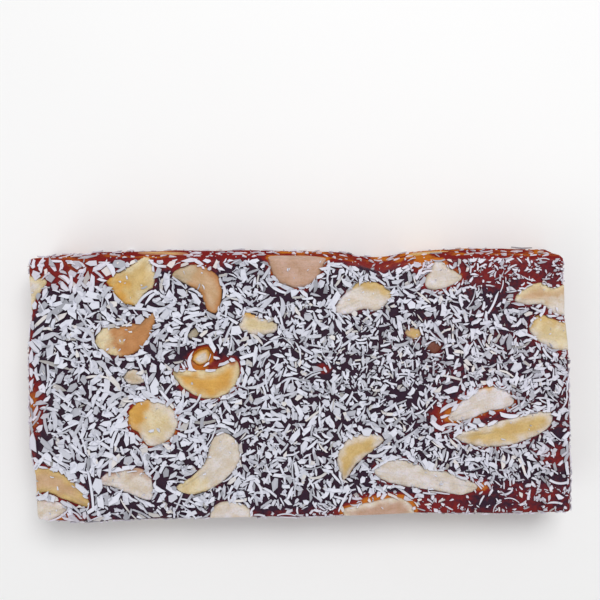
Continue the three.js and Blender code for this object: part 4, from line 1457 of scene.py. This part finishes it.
def face_cover(x, y):
    """The share of the face to be covered at each place; none on the kernels or off the edge."""
    flat = np.column_stack([x.ravel(), y.ravel(), np.zeros(x.size)])
    cloud = sum(strength * ripple(flat, size, CLUSTER_SEED) for size, strength in CLUSTERS)
    cover = FACE_COVER + cloud.reshape(x.shape) + sum(patch.at(x, y) for patch in COVER_PATCHES)
    open_face = (inside_cuts(x, y) > BARE_EDGE) & (outside_chips(x, y) > KERNEL_MARGIN)
    return np.where(open_face, np.clip(cover, LEAST_COVER, MOST_COVER), 0)


# The painted glow on the flakes of the face follows the patches where the paste glows.
def painted_face_glow(a, b):
    return FACE_GLOW_PINK * np.clip(sum(patch.at(a, b) for patch in GLOW_PATCHES), 0, 1)


def face_to_space(a, b, h):
    return a, b, THICKNESS + np.minimum(h, FACE_CEILING)


def placed_flakes(rows, kind):
    """The flakes that lie where the photo shows them, as columns."""
    a, b, length, width, turn = np.array(rows).T
    return {
        "a": a,
        "b": b,
        "turn": np.radians(turn),
        "length": length,
        "width": width,
        "thick": np.full(len(rows), kind.thick),
        "lift": np.full(len(rows), PLACED_LIFT),
    }


def build_face_coconut(settings):
    rng = np.random.default_rng(settings.seed)
    corner = np.array([HALF_LENGTH + BED_MARGIN, HALF_WIDTH + BED_MARGIN])
    bed = Bed(-corner, corner, face_height, face_cover, face_to_space, FACE_CEILING)
    bed.cover *= settings.cover
    material = coconut_material()

    def add(name, kind, laid):
        piece = flakes_object(f"coconut_{name}", kind, laid, bed, rng, settings, painted_glow=painted_face_glow)
        finish_piece(piece, material)

    for name, kind, rows in (("large", CHUNK, LARGE_FLAKES), ("long", CURL, LONG_FLAKES)):
        drawn = placed_flakes(rows, kind)
        add(f"face_{name}", kind, settled(bed, drawn, rng, PLACED_SHARE, PLACED_OVERLAP))
    for name, kind, tries, share, overlap, lift in FACE_LAYERS:
        laid = lay_flakes(bed, kind, tries, rng, share, overlap, lift, graded=True)
        add(f"face_{name}", kind, laid)
    bed.barred[:] = inside_cuts(*bed.places) < STRAY_EDGE
    bed.cover[:] = 1.0
    for name, kind, tries in STRAY_LAYERS:
        laid = lay_flakes(bed, kind, tries, rng, overlap=STRAY_OVERLAP, scale=STRAY_SCALE)
        add(f"stray_{name}", kind, laid)


# ------------------------------------------------------------------ coconut on the cuts and below

TABLE_GAP = 0.05  # keeps the coconut of the cuts off the table
LOWER_BARE, UPPER_BARE = 0.15, 0.2  # bands without coconut at the edges of a cut
UPPER_BAND = (0.4, 1.2)  # extra cover at the upper edge, and the distance over which it fades
LOWER_BAND = (0.5, 0.35)
CUT_ENDS = 0.8  # no coconut of a cut this close to its ends
# The kinds on a cut and underneath: name, kind, flakes drawn and share of the cover.
SIDE_LAYERS = (("shreds", SHRED, 1500, 0.7), ("crumbs", CRUMB, 2500, 1.0))
SIDE_OVERLAP = 0.1
SIDE_SCALE = 0.9
# how much of the paste's painted glow the flakes of the cuts take on, the same everywhere
SIDE_GLOW_PINK = 0.3
BASE_EDGE = 1.0
BASE_COVER = 0.65
BASE_BITE = 0.04  # how deep the lowest flakes are pressed into the paste
BASE_LAYERS = (
    ("chunks", CHUNK, 900, 0.15),
    ("shreds", SHRED, 9000, 0.8),
    ("splinters", SPLINTER, 7000, 1.0),
)
BASE_OVERLAP = 0.08


def level_bed(a, b):
    return np.zeros_like(a)


def side_bed(side):
    """The bed of one cut: along the slab's side, up it, and out of it."""
    sign = {"near": -1, "far": 1, "left": -1, "right": 1}[side]
    long_side = side in ("near", "far")

    def to_space(a, b, h):
        if long_side:
            x, y, z = to_slab(a, np.full_like(a, sign * HALF_WIDTH), b)
            return x, y + sign * h, np.maximum(z, TABLE_GAP)
        x, y, z = to_slab(np.full_like(a, sign * HALF_LENGTH), a, b)
        return x + sign * h, y, np.maximum(z, TABLE_GAP)

    def cover(a, b):
        x, y, z = to_space(a, b, np.zeros_like(a))
        clear = np.minimum.reduce([
            *(outside_bean(bean, x, y, z) for bean in BEANS),
            *(np.maximum(outside_chip(chip, x, y), THICKNESS - chip.depth - z) for chip in CHIPS),
        ])
        upper = UPPER_BAND[0] * np.exp(-(THICKNESS - b) / UPPER_BAND[1])
        lower = LOWER_BAND[0] * np.exp(-b / LOWER_BAND[1])
        share = FAR_SHARE if side == "far" else 1.0
        open_cut = (clear > KERNEL_CLEARANCE) & (b > LOWER_BARE) & (b < THICKNESS - UPPER_BARE)
        return np.where(open_cut, share * (SIDE_COVER + upper + lower), 0)

    reach = (HALF_LENGTH if long_side else HALF_WIDTH) - CUT_ENDS
    return Bed((-reach, 0), (reach, THICKNESS), level_bed, cover, to_space, CUT_CEILING)


# The painted glow on the flakes of a cut, the same everywhere.
def painted_side_glow(a, b):
    return np.full(len(a), SIDE_GLOW_PINK)


def build_side_coconut(settings):
    rng = np.random.default_rng(settings.seed + 1)
    material = coconut_material()
    for side in ("near", "far", "left", "right"):
        bed = side_bed(side)
        for name, kind, most, share in SIDE_LAYERS:
            tries = int(most * SIDE_TRIES[side])
            laid = lay_flakes(bed, kind, tries, rng, share, SIDE_OVERLAP, scale=SIDE_SCALE)
            name = f"coconut_{side}_{name}"
            piece = flakes_object(name, kind, laid, bed, rng, settings, painted_glow=painted_side_glow)
            finish_piece(piece, material)


def base_cover(x, y):
    level = np.zeros_like(x)
    clear = np.minimum.reduce([outside_bean(bean, x, y + NEAR_LEAN, level) for bean in BASE_BEANS])
    return np.where((inside_cuts(x, y) > BASE_EDGE) & (clear > KERNEL_CLEARANCE), BASE_COVER, 0)


def base_to_space(a, b, h):
    return a, b + NEAR_LEAN, np.maximum(BASE_SUNK + BASE_BITE - h, 0.0)


def build_base_coconut(settings):
    rng = np.random.default_rng(settings.seed + 2)
    material = coconut_material()
    corner = np.array([HALF_LENGTH, HALF_WIDTH])
    bed = Bed(-corner, corner, level_bed, base_cover, base_to_space, BASE_SUNK)
    for name, kind, tries, share in BASE_LAYERS:
        laid = lay_flakes(bed, kind, tries, rng, share, BASE_OVERLAP)
        piece = flakes_object(f"coconut_base_{name}", kind, laid, bed, rng, settings, flat=True)
        finish_piece(piece, material)


# ------------------------------------------------------------------ stage

FLOOR_CELLS = 8
FLOOR_REACH = 1.5  # metres each way
FLOOR_DROP = 0.05  # keeps the floor off the level cuts of the nuts in the underside
KEY_PLACE, KEY_SIZE = (0.08, 0.24, 0.46), (0.26, 0.2)  # the lights are in metres
FILL_PLACE, FILL_SIZE = (-0.35, -0.25, 0.40), (0.4, 0.4)
FILL_SHARE = 0.35  # of the main light's power
VIEW_POINT = Vector((-0.4, 17.5, 14.0))  # where the camera aims, in millimetres
VIEW_DISTANCE = 175.0
VIEW_TILT = 3.0  # degrees from straight down
LENS = 52.5
SENSOR_WIDTH = 36.0
CLIP_NEAR, CLIP_FAR = 0.01, 10.0


def add_light(name, place, size, power):
    """Adds a rectangular light that aims at the middle of the slab."""
    lamp = bpy.data.lights.new(name, "AREA")
    lamp.shape = "RECTANGLE"
    lamp.size, lamp.size_y = size
    lamp.energy = power
    light = bpy.data.objects.new(name, lamp)
    light.location = place
    light.rotation_euler = (-Vector(place)).to_track_quat("-Z", "Y").to_euler()
    bpy.context.scene.collection.objects.link(light)


def add_camera():
    data = bpy.data.cameras.new("camera")
    data.lens = LENS
    data.sensor_width = SENSOR_WIDTH
    data.clip_start = CLIP_NEAR
    data.clip_end = CLIP_FAR
    camera = bpy.data.objects.new("camera", data)
    tilt = math.radians(VIEW_TILT)
    back = Vector((0, math.sin(tilt), math.cos(tilt)))
    camera.location = (VIEW_POINT + back * VIEW_DISTANCE) * MM
    camera.rotation_euler = Euler((-tilt, 0, 0))
    bpy.context.scene.collection.objects.link(camera)
    bpy.context.scene.camera = camera


def build_stage(settings):
    bm = bmesh.new()
    drop = Matrix.Translation((0, 0, -FLOOR_DROP * MM))
    bmesh.ops.create_grid(bm, x_segments=FLOOR_CELLS, y_segments=FLOOR_CELLS, size=FLOOR_REACH, matrix=drop)
    floor = new_object("table_top", mesh_from(bm, "table_top"))
    floor.data.materials.append(floor_material())

    scene = bpy.context.scene
    scene.world = bpy.data.worlds.new("studio")
    scene.world.use_nodes = True
    background = scene.world.node_tree.nodes["Background"]
    background.inputs["Color"].default_value = (1.0, 1.0, 1.0, 1.0)
    background.inputs["Strength"].default_value = settings.sky
    scene.view_settings.view_transform = "Standard"
    scene.view_settings.look = "None"
    add_light("key", KEY_PLACE, KEY_SIZE, settings.key)
    add_light("fill", FILL_PLACE, FILL_SIZE, settings.key * FILL_SHARE)
    add_camera()


# ------------------------------------------------------------------ the add-on

def colour_setting(name, description, usual):
    return FloatVectorProperty(
        name=name, description=description, subtype="COLOR", default=usual, min=0, max=1,
    )


class ConfectionSettings(bpy.types.PropertyGroup):
    """Sizes and colours of the slab's dressing"""
    cover: FloatProperty(
        name="Coconut cover", description="Coconut on the face, as a share of the usual cover",
        default=1.0, min=0.1, max=1.3, subtype="FACTOR",
    )
    seed: IntProperty(
        name="Seed", description="Another number scatters the coconut in another way", default=20, min=0,
    )
    key: FloatProperty(
        name="Main light", description="Power of the main light, which the fill light follows",
        default=1.5, min=0.0, unit="POWER",
    )
    sky: FloatProperty(
        name="Sky", description="Strength of the light from all round", default=0.46, min=0.0,
    )
    coconut: colour_setting("Coconut", "Colour of the dry flakes", (0.72, 0.73, 0.82))
    paste_deep: colour_setting("Deep paste", "Colour of the paste where it is thick", (0.034, 0.016, 0.030))
    # the red and the amber paste are painted light: the colour of the paste where light glows through it
    paste_red: colour_setting(
        "Red paste", "Colour of the paste where light comes through", (0.20, 0.017, 0.016),
    )
    paste_amber: colour_setting(
        "Amber paste", "Colour of the paste where it is thinnest", (0.50, 0.15, 0.018),
    )


def settings_of(context):
    return context.scene.confection


class CONFECTION_OT_paste(bpy.types.Operator):
    """Makes the body of paste with its pockets"""
    bl_idname = "confection.paste"
    bl_label = "Paste"

    def execute(self, context):
        build_paste(settings_of(context))
        return {"FINISHED"}


class CONFECTION_OT_kernels(bpy.types.Operator):
    """Makes the nuts set in the paste"""
    bl_idname = "confection.kernels"
    bl_label = "Kernels"

    def execute(self, context):
        build_kernels()
        return {"FINISHED"}


class CONFECTION_OT_face_coconut(bpy.types.Operator):
    """Scatters coconut over the face"""
    bl_idname = "confection.face_coconut"
    bl_label = "Coconut on the face"

    def execute(self, context):
        build_face_coconut(settings_of(context))
        return {"FINISHED"}


class CONFECTION_OT_side_coconut(bpy.types.Operator):
    """Sticks coconut to the cut sides"""
    bl_idname = "confection.side_coconut"
    bl_label = "Coconut on the cuts"

    def execute(self, context):
        build_side_coconut(settings_of(context))
        return {"FINISHED"}


class CONFECTION_OT_base_coconut(bpy.types.Operator):
    """Presses coconut into the underside"""
    bl_idname = "confection.base_coconut"
    bl_label = "Coconut underneath"

    def execute(self, context):
        build_base_coconut(settings_of(context))
        return {"FINISHED"}


class CONFECTION_OT_stage(bpy.types.Operator):
    """Adds the table top, the lights and the camera"""
    bl_idname = "confection.stage"
    bl_label = "Stage"

    def execute(self, context):
        build_stage(settings_of(context))
        return {"FINISHED"}


OPERATORS = (
    CONFECTION_OT_paste,
    CONFECTION_OT_kernels,
    CONFECTION_OT_face_coconut,
    CONFECTION_OT_side_coconut,
    CONFECTION_OT_base_coconut,
    CONFECTION_OT_stage,
)


class CONFECTION_PT_panel(bpy.types.Panel):
    """Lists the slab's pieces and settings"""
    bl_idname = "CONFECTION_PT_panel"
    bl_label = "Confection slab"
    bl_space_type = "VIEW_3D"
    bl_region_type = "UI"
    bl_category = "Confection"

    def draw(self, context):
        settings = settings_of(context)
        for name in ConfectionSettings.__annotations__:
            self.layout.prop(settings, name)
        for operator in OPERATORS:
            self.layout.operator(operator.bl_idname)


def register():
    for item in (ConfectionSettings, *OPERATORS, CONFECTION_PT_panel):
        bpy.utils.register_class(item)
    bpy.types.Scene.confection = PointerProperty(type=ConfectionSettings)


def unregister():
    del bpy.types.Scene.confection
    for item in (CONFECTION_PT_panel, *reversed(OPERATORS), ConfectionSettings):
        bpy.utils.unregister_class(item)


def main():
    register()
    bpy.ops.confection.paste()
    bpy.ops.confection.kernels()
    bpy.ops.confection.face_coconut()
    bpy.ops.confection.side_coconut()
    bpy.ops.confection.base_coconut()
    bpy.ops.confection.stage()


if __name__ == "__main__":
    main()
